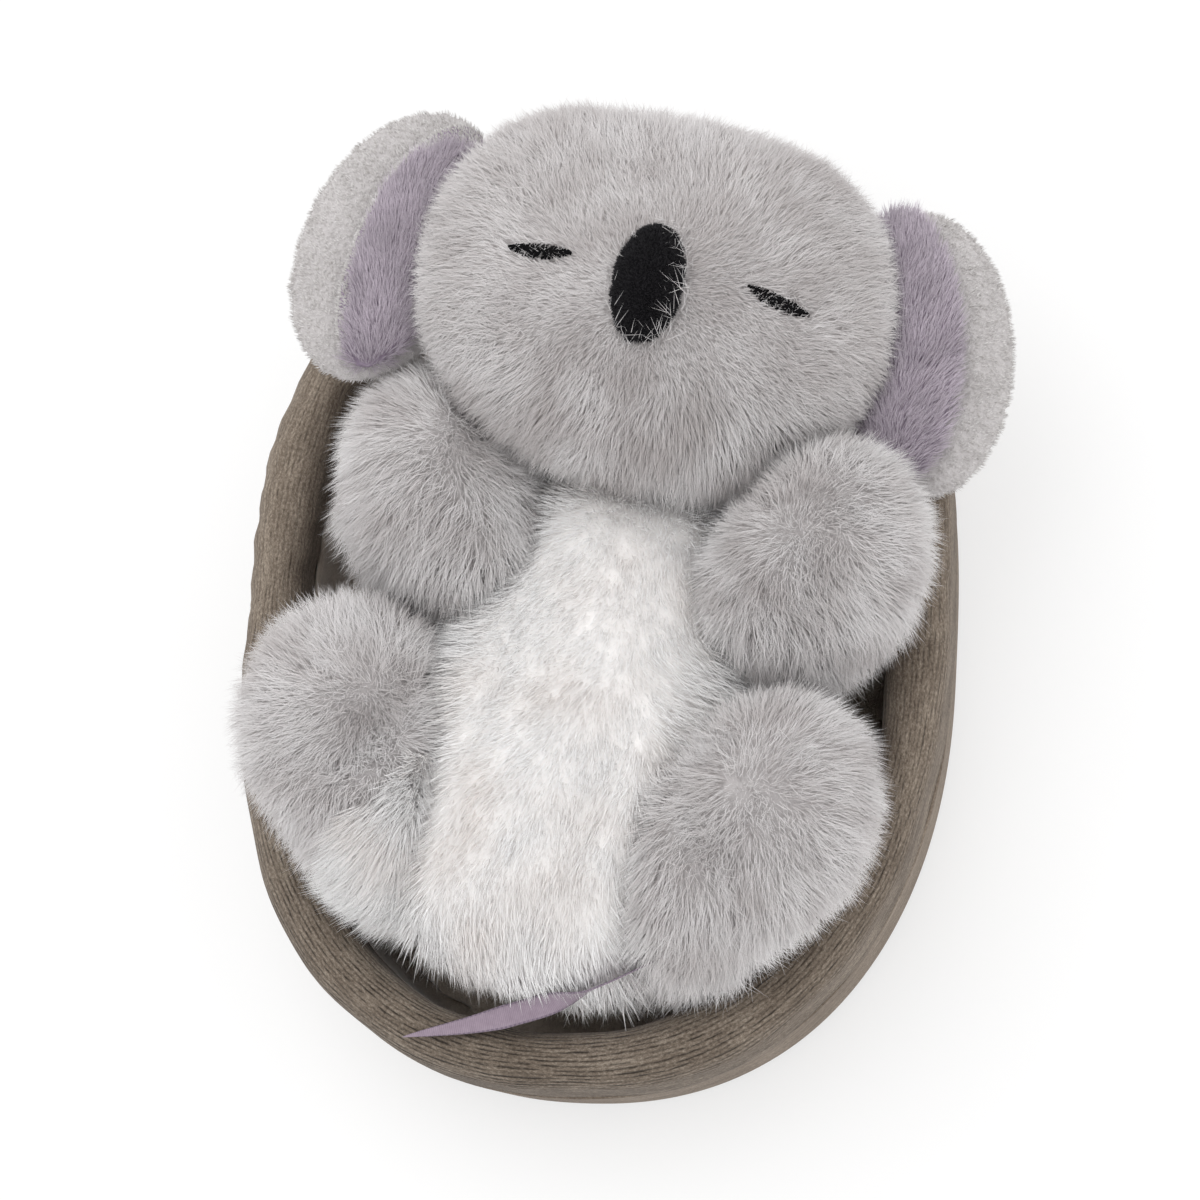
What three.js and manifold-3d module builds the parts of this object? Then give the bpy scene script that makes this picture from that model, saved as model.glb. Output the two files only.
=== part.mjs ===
// A plush koala lying on its back in a padded corduroy bed.
// Millimetres, +Z up, +Y towards the head end of the bed. The origin is the middle of the bed's underside.

import * as THREE from 'three';
import { mergeVertices } from 'three/addons/utils/BufferGeometryUtils.js';
import Module from 'manifold-3d';

const wasm = await Module();
wasm.setup();

// Clearances that all pieces share
const seat = 0.3;
const socketGap = 0.6;
const overrun = 5;
const mergeReach = 0.001;

// Bed, from outside to inside
const bed = {
  halfWidth: 110,
  footReach: 137,
  headReach: 137,
  height: 58,
  wall: 18,
  cover: 1.6,
  paddingEase: 0.5,
  board: 3,
  mattress: 8,
  mattressEdge: 4,
  mattressCrown: 22,
  baseInset: 5,
  foldHeight: 37,
  liningHeight: 40,
  floorFillet: 3,
};
const footSquarenessShare = 2.25;
const headSquarenessShare = 3;

// Heights of the layers on the bed's floor
const boardBottom = bed.cover + seat;
const liningBottom = boardBottom + bed.board + seat;
const mattressBottom = liningBottom + bed.cover + seat;
const mattressTop = mattressBottom + bed.mattress;

// The koala's own frame: it lies a little askew in the bed, on the mattress
const koala = {
  turn: THREE.MathUtils.degToRad(-12),
  shiftRight: 10.5,
  shiftDown: 0,
};

// Torso, from the seat end to the neck end
const torso = {
  seatEnd: -106,
  neckEnd: 60,
  halfWidth: 54,
  thickness: 84,
  flattening: 4,
};

// Head, from the chin end to the crown end; it rolls and turns a little, and lies left of the body
const head = {
  chinEnd: 40,
  crownEnd: 152,
  halfWidth: 71,
  centreHeight: 76,
  halfHeight: 38,
  muzzleHeight: 4,
  muzzleSpread: 24,
  roll: THREE.MathUtils.degToRad(12),
  yaw: THREE.MathUtils.degToRad(3),
  shiftLeft: 7,
};

const nose = { along: 88, halfWidth: 11, halfLength: 18, proud: 5, depth: 6 };
const eye = {
  aside: 35.5,
  shiftRight: 2,
  along: 92.5,
  halfLength: 9.5,
  halfWidth: 1.9,
  lean: THREE.MathUtils.degToRad(-5),
  droop: THREE.MathUtils.degToRad(3.5),
};

const ear = {
  aside: 81,
  along: 98.5,
  height: 69,
  halfWidth: 29,
  halfLength: 47,
  halfThickness: 8,
  tilt: THREE.MathUtils.degToRad(6),
  lean: THREE.MathUtils.degToRad(-12),
};
const earLining = { thickness: 2.5, aside: 75, along: 98.5, halfWidth: 16, halfLength: 42 };

// Arms and legs: the root ball turns in a socket of the torso, and the end is the paw or foot
const arm = {
  rootAside: 37,
  rootAlong: 2,
  rootHeight: 44,
  rootRadius: 13,
  pawAside: 61,
  pawAlong: 31,
  pawHeight: 64,
  pawHalfWidth: 29,
  pawHalfLength: 33,
};
const leg = {
  rootAside: 36,
  rootAlong: -82,
  rootHeight: 36,
  rootRadius: 15,
  footAside: 66,
  footAlong: -46,
  footHeight: 70,
  footHalfWidth: 29,
  footHalfLength: 35,
};
const limbClearance = 2;
const wallClearance = 4;
const cheekClearance = 5;

// Hinges of the soft seams, and how far each part swings from rest
const neck = { along: 40, height: 78, swing: THREE.MathUtils.degToRad(20) };
const earFold = { aside: 64, height: 79, swing: THREE.MathUtils.degToRad(25) };
const shoulderSwing = THREE.MathUtils.degToRad(25);
const hipSwing = THREE.MathUtils.degToRad(25);

const bellyPanel = { thickness: 2.4, top: 44, bottom: -104, halfWidth: 51 };
const pocket = { along: -62, halfWidth: 24, halfLength: 26, height: 30 };
const backPanel = { thickness: 1.6, margin: 4 };

// The ribbon leaves the seat seam on edge, lies over the rim and ends in a point
const ribbon = {
  width: 8,
  thickness: 0.8,
  rootAside: 27,
  rootInset: 5,
  rootHeight: 47,
  reach: 64,
  fall: 33,
};

const colours = {
  greyFur: 0xc6c4c6,
  whiteFur: 0xeceaec,
  lavenderFur: 0xb9accb,
  earPile: 0xc9c6c8,
  blackPile: 0x17161a,
  blackThread: 0x1d1b1e,
  corduroy: 0x81766b,
  lining: 0x6d6259,
  ribbon: 0xab98bd,
  board: 0xb49b78,
  padding: 0xe6e2da,
  beans: 0xd8d2c4,
};

// A mesh with shared corners, which holds nothing but its places
function weldedOf(geometry) {
  const bare = geometry.clone();
  bare.deleteAttribute('normal');
  bare.deleteAttribute('uv');
  return mergeVertices(bare, mergeReach);
}

// Closed meshes as solids, and back
function solidOf(geometry) {
  const merged = weldedOf(geometry);
  return new wasm.Manifold(new wasm.Mesh({
    numProp: 3,
    vertProperties: new Float32Array(merged.attributes.position.array),
    triVerts: new Uint32Array(merged.index.array),
  }));
}

function geometryOf(solid) {
  const mesh = solid.getMesh();
  const geometry = new THREE.BufferGeometry();
  geometry.setAttribute('position', new THREE.BufferAttribute(new Float32Array(mesh.vertProperties), 3));
  geometry.setIndex(new THREE.BufferAttribute(new Uint32Array(mesh.triVerts), 1));
  return geometry;
}

function cutBy(geometry, ...cutters) {
  return geometryOf(cutters.reduce((solid, cutter) => solid.subtract(solidOf(cutter)), solidOf(geometry)));
}

function commonOf(geometry, other) {
  return geometryOf(solidOf(geometry).intersect(solidOf(other)));
}

function joinedTo(geometry, other) {
  return geometryOf(solidOf(geometry).add(solidOf(other)));
}

// Rows of points closed into a skin: each row is a loop, and the first and last rows close on a pole
function skinOfRows(rows, firstPole, lastPole) {
  const sides = rows[0].length;
  const points = [firstPole, ...rows.flat(), lastPole];
  const last = points.length - 1;
  const faces = [];
  for (let side = 0; side < sides; side += 1) {
    const next = (side + 1) % sides;
    faces.push(0, 1 + next, 1 + side);
    for (let row = 0; row < rows.length - 1; row += 1) {
      const low = 1 + row * sides;
      const high = low + sides;
      faces.push(low + side, low + next, high + next);
      faces.push(low + side, high + next, high + side);
    }
    const top = 1 + (rows.length - 1) * sides;
    faces.push(top + side, top + next, last);
  }
  const geometry = new THREE.BufferGeometry();
  geometry.setAttribute('position', new THREE.Float32BufferAttribute(points.flatMap((p) => p.toArray()), 3));
  geometry.setIndex(faces);
  return geometry;
}

// A stuffed form: oval rings along a spine, which swell and taper, with rounded ends
function stuffedForm({ spine, halfWidths, halfHeights, roundness, rings, sides, grow = 0 }) {
  const path = new THREE.CatmullRomCurve3(spine);
  const swell = new THREE.CatmullRomCurve3(
    halfWidths.map((width, i) => new THREE.Vector3(width, halfHeights[i], 0)),
  );
  const acrossBody = new THREE.Vector3(1, 0, 0);
  const rows = [];
  for (let ring = 1; ring < rings; ring += 1) {
    const share = (1 - Math.cos((Math.PI * ring) / rings)) / 2;
    const dome = (1 - Math.abs(2 * share - 1) ** roundness) ** (1 / roundness);
    const centre = path.getPoint(share);
    const ahead = path.getTangent(share);
    const aside = acrossBody.clone().addScaledVector(ahead, -acrossBody.dot(ahead)).normalize();
    const over = aside.clone().cross(ahead);
    const size = swell.getPoint(share);
    rows.push(Array.from({ length: sides }, (_, side) => {
      const angle = (2 * Math.PI * side) / sides;
      return centre.clone()
        .addScaledVector(aside, -Math.cos(angle) * (size.x * dome + grow))
        .addScaledVector(over, Math.sin(angle) * (size.y * dome + grow));
    }));
  }
  const start = spine[0].clone().addScaledVector(path.getTangent(0), -grow);
  const end = spine[spine.length - 1].clone().addScaledVector(path.getTangent(1), grow);
  return skinOfRows(rows, start, end);
}

function ball(centre, radius) {
  return new THREE.SphereGeometry(radius, 16, 10).translate(centre.x, centre.y, centre.z);
}

function oval(centre, halfWidth, halfLength, halfHeight, sides = 24, rings = 16) {
  return new THREE.SphereGeometry(1, sides, rings)
    .rotateX(Math.PI / 2)
    .scale(halfWidth, halfLength, halfHeight)
    .translate(centre.x, centre.y, centre.z);
}

// An upright prism over an oval, for trimming a panel to its outline
function ovalPrism(x, y, halfWidth, halfLength, low, high, sides = 36) {
  const outline = new THREE.Shape();
  outline.absellipse(x, y, halfWidth, halfLength, 0, 2 * Math.PI);
  return new THREE.ExtrudeGeometry(outline, { depth: high - low, bevelEnabled: false, curveSegments: sides })
    .translate(0, 0, low);
}

// The bed's outline: an oval, rounder at the foot and squarer at the head
const outlineSteps = 40;

function outlinePoint(step, inset) {
  const angle = (2 * Math.PI * step) / outlineSteps;
  const across = Math.cos(angle);
  const along = Math.sin(angle);
  const reach = along < 0 ? bed.footReach : bed.headReach;
  const squareness = along < 0 ? footSquarenessShare : headSquarenessShare;
  const x = bed.halfWidth * Math.sign(across) * Math.abs(across) ** (2 / squareness);
  const y = reach * Math.sign(along) * Math.abs(along) ** (2 / squareness);
  const slopeX = Math.sign(x) * (Math.abs(x) / bed.halfWidth) ** (squareness - 1) / bed.halfWidth;
  const slopeY = Math.sign(y) * (Math.abs(y) / reach) ** (squareness - 1) / reach;
  const outward = new THREE.Vector3(slopeX, slopeY, 0).normalize();
  return new THREE.Vector3(x, y, 0).addScaledVector(outward, -inset);
}

function outlineRow({ inset, height }) {
  return Array.from({ length: outlineSteps }, (_, step) => outlinePoint(step, inset).setZ(height));
}

// A layer of the bed that reaches to its middle: a profile of insets and heights, closed on two poles
function bedLayer(profile, bottom, top) {
  return skinOfRows(profile.map(outlineRow), new THREE.Vector3(0, 0, bottom), new THREE.Vector3(0, 0, top));
}

// A ring that follows the bed's outline with a closed section of insets and heights
function bedRing(section) {
  const rows = section.map(outlineRow);
  const count = rows.length;
  const faces = [];
  for (let row = 0; row < count; row += 1) {
    const low = row * outlineSteps;
    const high = ((row + 1) % count) * outlineSteps;
    for (let side = 0; side < outlineSteps; side += 1) {
      const next = (side + 1) % outlineSteps;
      faces.push(low + side, low + next, high + next);
      faces.push(low + side, high + next, high + side);
    }
  }
  const geometry = new THREE.BufferGeometry();
  const points = rows.flat().flatMap((p) => p.toArray());
  geometry.setAttribute('position', new THREE.Float32BufferAttribute(points, 3));
  geometry.setIndex(faces);
  return geometry;
}

// The wall's contour from its outer bottom edge over the top to its inner bottom edge
function wallContour() {
  const topRadius = bed.wall / 2;
  const topCentre = bed.height - topRadius;
  const arcSteps = 5;
  const outerSide = [
    { inset: bed.baseInset, height: boardBottom },
    { inset: bed.baseInset / 2, height: bed.foldHeight / 3 },
    { inset: 0, height: bed.foldHeight },
  ];
  const overTop = Array.from({ length: arcSteps + 1 }, (_, i) => {
    const angle = Math.PI * (i / arcSteps);
    return {
      inset: topRadius - topRadius * Math.cos(angle),
      height: topCentre + topRadius * Math.sin(angle),
    };
  });
  const innerSide = [
    { inset: bed.wall, height: bed.liningHeight },
    { inset: bed.wall, height: liningBottom },
  ];
  return { outerSide, overTop, innerSide };
}

// A contour moved inwards, square to itself
function insideOf(contour, depth) {
  return contour.map((point, i) => {
    const before = contour[Math.max(i - 1, 0)];
    const after = contour[Math.min(i + 1, contour.length - 1)];
    const run = new THREE.Vector2(after.inset - before.inset, after.height - before.height).normalize();
    return { inset: point.inset + run.y * depth, height: point.height - run.x * depth };
  });
}

function clothSection(contour) {
  return [...contour, ...insideOf(contour, bed.cover).reverse()];
}

const { outerSide, overTop, innerSide } = wallContour();

function bedBasePanel() {
  const edge = [
    { inset: bed.baseInset, height: 0 },
    { inset: bed.baseInset, height: bed.cover },
  ];
  return bedLayer(edge, 0, bed.cover);
}

function bedBaseBoard() {
  const inset = bed.wall - bed.cover;
  const edge = [
    { inset, height: boardBottom },
    { inset, height: boardBottom + bed.board },
  ];
  return bedLayer(edge, boardBottom, boardBottom + bed.board);
}

function bedOuterPanel() {
  return bedRing(clothSection(outerSide));
}

function bedRimBand() {
  const outerEdge = { inset: 0, height: bed.foldHeight + seat };
  const innerEdge = { inset: bed.wall, height: bed.liningHeight + seat };
  return bedRing(clothSection([outerEdge, ...overTop, innerEdge]));
}

function bedLining() {
  const floorTop = liningBottom + bed.cover;
  const edge = [
    { inset: bed.wall - bed.cover, height: liningBottom },
    { inset: bed.wall - bed.cover, height: bed.liningHeight },
    { inset: bed.wall, height: bed.liningHeight },
    { inset: bed.wall, height: floorTop + bed.floorFillet },
    { inset: bed.wall + bed.floorFillet, height: floorTop },
  ];
  return bedLayer(edge, liningBottom, floorTop);
}

function bedWallPadding() {
  const depth = bed.cover + seat + bed.paddingEase;
  const outside = insideOf([...outerSide, ...overTop.slice(1, -1)], depth);
  const innerInset = bed.wall - depth;
  const inside = [
    { inset: innerInset, height: bed.height - bed.wall / 2 },
    { inset: innerInset, height: boardBottom },
  ];
  return bedRing([...outside, ...inside]);
}

function bedMattress() {
  const edge = bed.wall + seat;
  const middle = mattressBottom + bed.mattress / 2;
  const profile = [
    { inset: edge + bed.mattressEdge, height: mattressBottom },
    { inset: edge, height: middle },
    { inset: edge + bed.mattressEdge, height: mattressTop - bed.cover },
    { inset: edge + bed.mattressCrown, height: mattressTop },
  ];
  return bedLayer(profile, mattressBottom, mattressTop);
}

// Everything below is in the koala's own frame, with zero height on the mattress
const point = (x, y, z) => new THREE.Vector3(x, y, z);

const torsoHeight = torso.thickness / 2 - torso.flattening;
const torsoLength = torso.neckEnd - torso.seatEnd;
const torsoWidthShares = [1.02, 1.1, 1.02, 0.88, 0.76, 0.7];
const torsoThicknessShares = [0.8, 0.98, 1, 0.92, 0.76, 0.62];

function torsoForm(grow = 0, rings = 16, sides = 24) {
  const last = torsoWidthShares.length - 1;
  const spine = torsoWidthShares.map((_, i) => {
    const along = torso.seatEnd + (torsoLength * i) / last;
    return point(0, along, torsoHeight);
  });
  return stuffedForm({
    spine,
    halfWidths: torsoWidthShares.map((share) => torso.halfWidth * share),
    halfHeights: torsoThicknessShares.map((share) => (torso.thickness / 2) * share),
    roundness: 2.9,
    rings,
    sides,
    grow,
  });
}

const headLength = head.crownEnd - head.chinEnd;
const headWidthShares = [0.9, 1, 1.02, 0.98, 0.92];
const headThicknessShares = [0.9, 1, 1, 0.95, 0.86];

function headForm(grow = 0, rings = 18, sides = 30) {
  const last = headWidthShares.length - 1;
  const spine = headWidthShares.map((_, i) => {
    const along = head.chinEnd + (headLength * i) / last;
    return point(0, along, head.centreHeight);
  });
  const form = stuffedForm({
    spine,
    halfWidths: headWidthShares.map((share) => head.halfWidth * share),
    halfHeights: headThicknessShares.map((share) => head.halfHeight * share),
    roundness: 2.2,
    rings,
    sides,
    grow,
  });
  raiseMuzzle(form);
  return form;
}

// The muzzle swells softly under the nose
function raiseMuzzle(geometry) {
  const places = geometry.attributes.position;
  for (let i = 0; i < places.count; i += 1) {
    const above = places.getZ(i) - head.centreHeight;
    if (above > 0) {
      const away = Math.hypot(places.getX(i), places.getY(i) - nose.along) / head.muzzleSpread;
      const lift = head.muzzleHeight * Math.exp(-away * away) * (above / head.halfHeight);
      places.setZ(i, places.getZ(i) + lift);
    }
  }
}

const faceHeight = head.centreHeight + head.halfHeight;

// The head and everything sewn to it is made upright, then turned about its middle to where it lies
const headTurn = new THREE.Matrix4().makeTranslation(-head.shiftLeft, nose.along, head.centreHeight)
  .multiply(new THREE.Matrix4().makeRotationZ(head.yaw))
  .multiply(new THREE.Matrix4().makeRotationY(head.roll))
  .multiply(new THREE.Matrix4().makeTranslation(0, -nose.along, -head.centreHeight));

function asHeadLies(geometry) {
  return geometry.clone().applyMatrix4(headTurn);
}

// Limbs are made for the left side (x below zero) and mirrored for the right
const armRoot = point(-arm.rootAside, arm.rootAlong, arm.rootHeight);
const legRoot = point(-leg.rootAside, leg.rootAlong, leg.rootHeight);

const elbowShare = 0.35;
const armWidthShares = [0.7, 0.88, 1.02, 0.95];

function armForm() {
  const paw = point(-arm.pawAside, arm.pawAlong, arm.pawHeight);
  const spine = [
    point(-arm.rootAside, arm.rootAlong - arm.rootRadius, arm.rootHeight),
    armRoot.clone().lerp(paw, elbowShare),
    paw.clone(),
    point(-arm.pawAside, arm.pawAlong + arm.pawHalfLength, arm.pawHeight + arm.rootRadius / 2),
  ];
  return stuffedForm({
    spine,
    halfWidths: armWidthShares.map((share) => arm.pawHalfWidth * share),
    halfHeights: armWidthShares.map((share) => arm.pawHalfWidth * share),
    roundness: 2.3,
    rings: 12,
    sides: 18,
  });
}

const kneeShare = 0.45;
const soleShare = 0.8;
const legWidthShares = [0.72, 0.92, 1.02, 0.96];

function legForm() {
  const foot = point(-leg.footAside, leg.footAlong, leg.footHeight);
  const inset = leg.rootRadius / 2;
  const spine = [
    point(-leg.rootAside - inset, leg.rootAlong - inset, leg.rootHeight - leg.rootRadius),
    legRoot.clone().lerp(foot, kneeShare),
    foot.clone(),
    point(-leg.footAside, leg.footAlong + inset, leg.footHeight + leg.footHalfWidth * soleShare),
  ];
  return stuffedForm({
    spine,
    halfWidths: legWidthShares.map((share) => leg.footHalfWidth * share),
    halfHeights: legWidthShares.map((share) => leg.footHalfLength * share),
    roundness: 2.4,
    rings: 12,
    sides: 18,
  });
}

function earForm(grow = 0) {
  const height = ear.height;
  return oval(point(0, 0, 0), ear.halfWidth + grow, ear.halfLength + grow, ear.halfThickness + grow, 22, 10)
    .rotateY(ear.tilt)
    .rotateZ(ear.lean)
    .translate(-ear.aside, ear.along, height);
}

function mirrored(geometry) {
  const flipped = weldedOf(geometry).scale(-1, 1, 1);
  const corners = flipped.index.array;
  for (let i = 0; i < corners.length; i += 3) {
    [corners[i], corners[i + 1]] = [corners[i + 1], corners[i]];
  }
  return flipped;
}

const rimTop = bed.height - mattressTop - seat;
const ribbonHeight = rimTop + seat + ribbon.thickness;
const ribbonReachShares = [0.22, 0.55, 0.85];
const ribbonFallShares = [0.18, 0.5, 0.8];
const ribbonRoute = [
  point(ribbon.rootAside, torso.seatEnd + ribbon.rootInset, ribbon.rootHeight),
  ...ribbonReachShares.map((share, i) => point(
    ribbon.rootAside - ribbon.reach * share,
    torso.seatEnd - ribbon.fall * ribbonFallShares[i],
    ribbonHeight,
  )),
];
const ribbonFlatShare = 0.6;
const ribbonPointShare = 0.35;

// A geometry turned about a line through a place
function turnedAbout(geometry, place, axis, angle) {
  return geometry.clone()
    .translate(-place.x, -place.y, -place.z)
    .applyMatrix4(new THREE.Matrix4().makeRotationAxis(axis, angle))
    .translate(place.x, place.y, place.z);
}

// The places that an obstacle takes while it swings, or as seen by a part that swings the other way
function swept(obstacle, place, axis, swing) {
  const steps = 3;
  return Array.from({ length: steps }, (_, i) => {
    const turn = (swing * (i + 1)) / steps;
    return turnedAbout(obstacle, place, axis, turn);
  });
}

const koalaPlace = new THREE.Matrix4()
  .makeRotationZ(koala.turn)
  .setPosition(koala.shiftRight, -koala.shiftDown, mattressTop + seat);

// The wall with a clearance all round, seen from the koala's frame
function wallSpace(clearance) {
  const outside = insideOf([...outerSide, ...overTop, ...innerSide], -clearance);
  outside[0].height = 0;
  outside[outside.length - 1].height = 0;
  return bedRing(outside).applyMatrix4(koalaPlace.clone().invert());
}

const group = new THREE.Group();
const bedGroup = new THREE.Group();
const koalaGroup = new THREE.Group();
koalaGroup.applyMatrix4(koalaPlace);
group.add(bedGroup, koalaGroup);

function addPiece(parent, name, geometry, colour, roughness = 0.95) {
  const material = new THREE.MeshStandardMaterial({ color: colour, roughness, metalness: 0 });
  const mesh = new THREE.Mesh(geometry, material);
  mesh.name = name;
  parent.add(mesh);
}

addPiece(bedGroup, 'bed_base_panel', bedBasePanel(), colours.corduroy);
addPiece(bedGroup, 'bed_base_board', bedBaseBoard(), colours.board);
addPiece(bedGroup, 'bed_wall_padding', bedWallPadding(), colours.padding);
addPiece(bedGroup, 'bed_outer_panel', bedOuterPanel(), colours.corduroy);
addPiece(bedGroup, 'bed_rim_band', bedRimBand(), colours.corduroy);
addPiece(bedGroup, 'bed_lining', bedLining(), colours.lining);
addPiece(bedGroup, 'bed_mattress', bedMattress(), colours.lining);

const headSpace = headForm(seat);
const headHollow = asHeadLies(headSpace);
const wallGap = wallSpace(wallClearance);
const asLeft = (geometry) => geometry;
const bothSides = [['left', asLeft], ['right', mirrored]];

// The filling pocket is open at the back, where the back panel closes it over the bean pouch
function pocketPrism(grow, low, high) {
  return ovalPrism(0, pocket.along, pocket.halfWidth + grow, pocket.halfLength + grow, low, high);
}

const sockets = bothSides.flatMap(([, flip]) => [
  flip(ball(armRoot, arm.rootRadius + socketGap)),
  flip(ball(legRoot, leg.rootRadius + socketGap)),
]);
const panelRecess = pocketPrism(backPanel.margin, -overrun, backPanel.thickness + seat);
const torsoUnderside = new THREE.BoxGeometry(torso.thickness * 2, torsoLength * 2, torso.thickness)
  .translate(0, 0, -torso.thickness / 2);
const torsoBody = cutBy(
  torsoForm(),
  headHollow,
  torsoUnderside,
  ...sockets,
  panelRecess,
  pocketPrism(0, -overrun, pocket.height),
);

const bellySpan = (bellyPanel.top - bellyPanel.bottom) / 2;
const bellyMiddle = (bellyPanel.top + bellyPanel.bottom) / 2;
const bellyPrism = ovalPrism(
  0,
  bellyMiddle,
  bellyPanel.halfWidth,
  bellySpan,
  torsoHeight,
  torso.thickness * 2,
);
const bellyBody = commonOf(
  cutBy(torsoForm(seat + bellyPanel.thickness), torsoForm(seat), headHollow, ...sockets),
  bellyPrism,
);
const torsoSpace = torsoForm(bellyPanel.thickness + limbClearance, 12, 20);
const cheekSpace = asHeadLies(headForm(cheekClearance, 12, 18));

const pouchMiddle = point(0, pocket.along, (pocket.height + backPanel.thickness) / 2 + seat / 2);
const pouchBody = oval(
  pouchMiddle,
  pocket.halfWidth - seat,
  pocket.halfLength - seat,
  (pocket.height - backPanel.thickness) / 2 - seat,
  16,
  10,
);
const backPanelBody = commonOf(
  pocketPrism(backPanel.margin - seat, 0, backPanel.thickness),
  torsoForm(),
);

function ribbonBody() {
  const path = new THREE.CatmullRomCurve3(ribbonRoute);
  const steps = 14;
  const rows = [];
  for (let step = 0; step <= steps; step += 1) {
    const share = step / steps;
    const centre = path.getPoint(share);
    const ahead = path.getTangent(share);
    const level = point(ahead.y, -ahead.x, 0).normalize();
    const turn = (Math.PI / 2) * (1 - Math.min(1, share / ribbonFlatShare)) ** 2;
    const aside = level.clone().applyAxisAngle(ahead, turn);
    const face = aside.clone().cross(ahead);
    const taper = Math.min(1, (1 - share) / ribbonPointShare);
    const halfWidth = Math.max(ribbon.thickness, (ribbon.width / 2) * taper);
    const corners = [[1, 1], [1, -1], [-1, -1], [-1, 1]];
    rows.push(corners.map(([across, through]) => centre.clone()
      .addScaledVector(aside, across * halfWidth)
      .addScaledVector(face, through * (ribbon.thickness / 2))));
  }
  const strip = skinOfRows(rows, path.getPoint(0), path.getPoint(1));
  return cutBy(strip, torsoForm(seat));
}

const noseBody = cutBy(
  oval(point(0, nose.along, faceHeight + head.muzzleHeight - nose.depth), nose.halfWidth, nose.halfLength,
    nose.depth + nose.proud, 18, 10),
  headSpace,
);

// Both eyes lean the same way and their outer ends droop; across is -1 for the left eye and 1 for the right
function eyeBody(across) {
  const x = eye.shiftRight + across * eye.aside;
  const bar = oval(point(0, 0, 0), eye.halfLength, eye.halfWidth, eye.halfWidth * 2, 12, 6)
    .rotateZ(eye.lean - across * eye.droop)
    .translate(x, eye.along, surfaceHeight(x, eye.along));
  return cutBy(bar, headSpace);
}

// The height of the head's upper surface over a place
function surfaceHeight(x, y) {
  const needle = ovalPrism(x, y, eye.halfWidth, eye.halfWidth, 0, head.centreHeight * 2, 8);
  return solidOf(needle).intersect(solidOf(headForm())).boundingBox().max[2];
}

addPiece(koalaGroup, 'torso', torsoBody, colours.greyFur);
addPiece(koalaGroup, 'belly_panel', bellyBody, colours.whiteFur);
addPiece(koalaGroup, 'bean_pouch', pouchBody, colours.beans);
addPiece(koalaGroup, 'back_panel', backPanelBody, colours.greyFur);
addPiece(koalaGroup, 'ribbon', ribbonBody(), colours.ribbon);
addPiece(koalaGroup, 'head', asHeadLies(headForm()), colours.greyFur);
addPiece(koalaGroup, 'nose', asHeadLies(noseBody), colours.blackPile);

const sideways = point(1, 0, 0);
const lengthways = point(0, 1, 0);
const neckPlace = point(0, neck.along, neck.height);
const earPlace = point(-earFold.aside, ear.along, earFold.height);
const earSpace = [headSpace, ...swept(headSpace, earPlace, lengthways, -earFold.swing)];
const armSpace = [
  torsoSpace,
  cheekSpace,
  ...swept(cheekSpace, neckPlace, sideways, neck.swing),
  ...swept(torsoSpace, armRoot, sideways, -shoulderSwing),
  ...swept(cheekSpace, armRoot, sideways, -shoulderSwing),
];
const legSpace = [
  torsoSpace,
  wallGap,
  ...swept(torsoSpace, legRoot, sideways, -hipSwing),
  ...swept(wallGap, legRoot, sideways, -hipSwing),
];

function armBody(flip) {
  const limb = cutBy(flip(armForm()), ...armSpace, wallGap);
  return joinedTo(limb, flip(ball(armRoot, arm.rootRadius)));
}

function legBody(flip) {
  const limb = cutBy(flip(legForm()), ...legSpace);
  return joinedTo(limb, flip(ball(legRoot, leg.rootRadius)));
}

function earBody() {
  return cutBy(earForm(), ...earSpace);
}

function earLiningBody() {
  const outline = ovalPrism(0, 0, earLining.halfWidth, earLining.halfLength, ear.height, ear.height * 2)
    .rotateZ(ear.lean)
    .translate(-earLining.aside, earLining.along, 0);
  return commonOf(cutBy(earForm(seat + earLining.thickness), earForm(seat), ...earSpace), outline);
}

for (const [side, flip] of bothSides) {
  const onHead = (geometry) => asHeadLies(flip(geometry));
  const clearOfArm = (geometry) => cutBy(onHead(geometry), flip(armForm()));
  addPiece(koalaGroup, `arm_${side}`, armBody(flip), colours.greyFur);
  addPiece(koalaGroup, `leg_${side}`, legBody(flip), colours.greyFur);
  addPiece(koalaGroup, `ear_${side}`, clearOfArm(earBody()), colours.earPile);
  addPiece(koalaGroup, `ear_lining_${side}`, clearOfArm(earLiningBody()), colours.lavenderFur);
}
addPiece(koalaGroup, 'eye_left', asHeadLies(eyeBody(-1)), colours.blackThread);
addPiece(koalaGroup, 'eye_right', asHeadLies(eyeBody(1)), colours.blackThread);

export default group;
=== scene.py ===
# A plush koala asleep on its back in a padded corduroy bed: skins, fur, cloth, ribbon, light and camera.
import math

import bpy
import numpy as np
from mathutils import Matrix, Vector, kdtree, noise


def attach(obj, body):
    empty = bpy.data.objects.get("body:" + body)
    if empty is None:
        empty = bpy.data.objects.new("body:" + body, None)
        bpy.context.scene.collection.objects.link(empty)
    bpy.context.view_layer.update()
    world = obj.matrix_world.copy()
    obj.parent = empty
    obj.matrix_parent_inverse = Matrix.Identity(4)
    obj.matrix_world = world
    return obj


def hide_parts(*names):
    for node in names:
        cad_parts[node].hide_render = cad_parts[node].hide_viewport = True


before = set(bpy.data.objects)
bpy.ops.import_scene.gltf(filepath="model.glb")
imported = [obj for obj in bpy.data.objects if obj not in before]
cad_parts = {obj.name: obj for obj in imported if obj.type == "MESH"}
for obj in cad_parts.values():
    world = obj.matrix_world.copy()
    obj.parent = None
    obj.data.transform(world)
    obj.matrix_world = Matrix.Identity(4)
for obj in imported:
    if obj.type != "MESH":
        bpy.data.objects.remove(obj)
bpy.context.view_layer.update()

# Blender's smooth noise takes its seed from the clock, unless it is set
NOISE_SEED = 5
noise.seed_set(NOISE_SEED)

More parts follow.
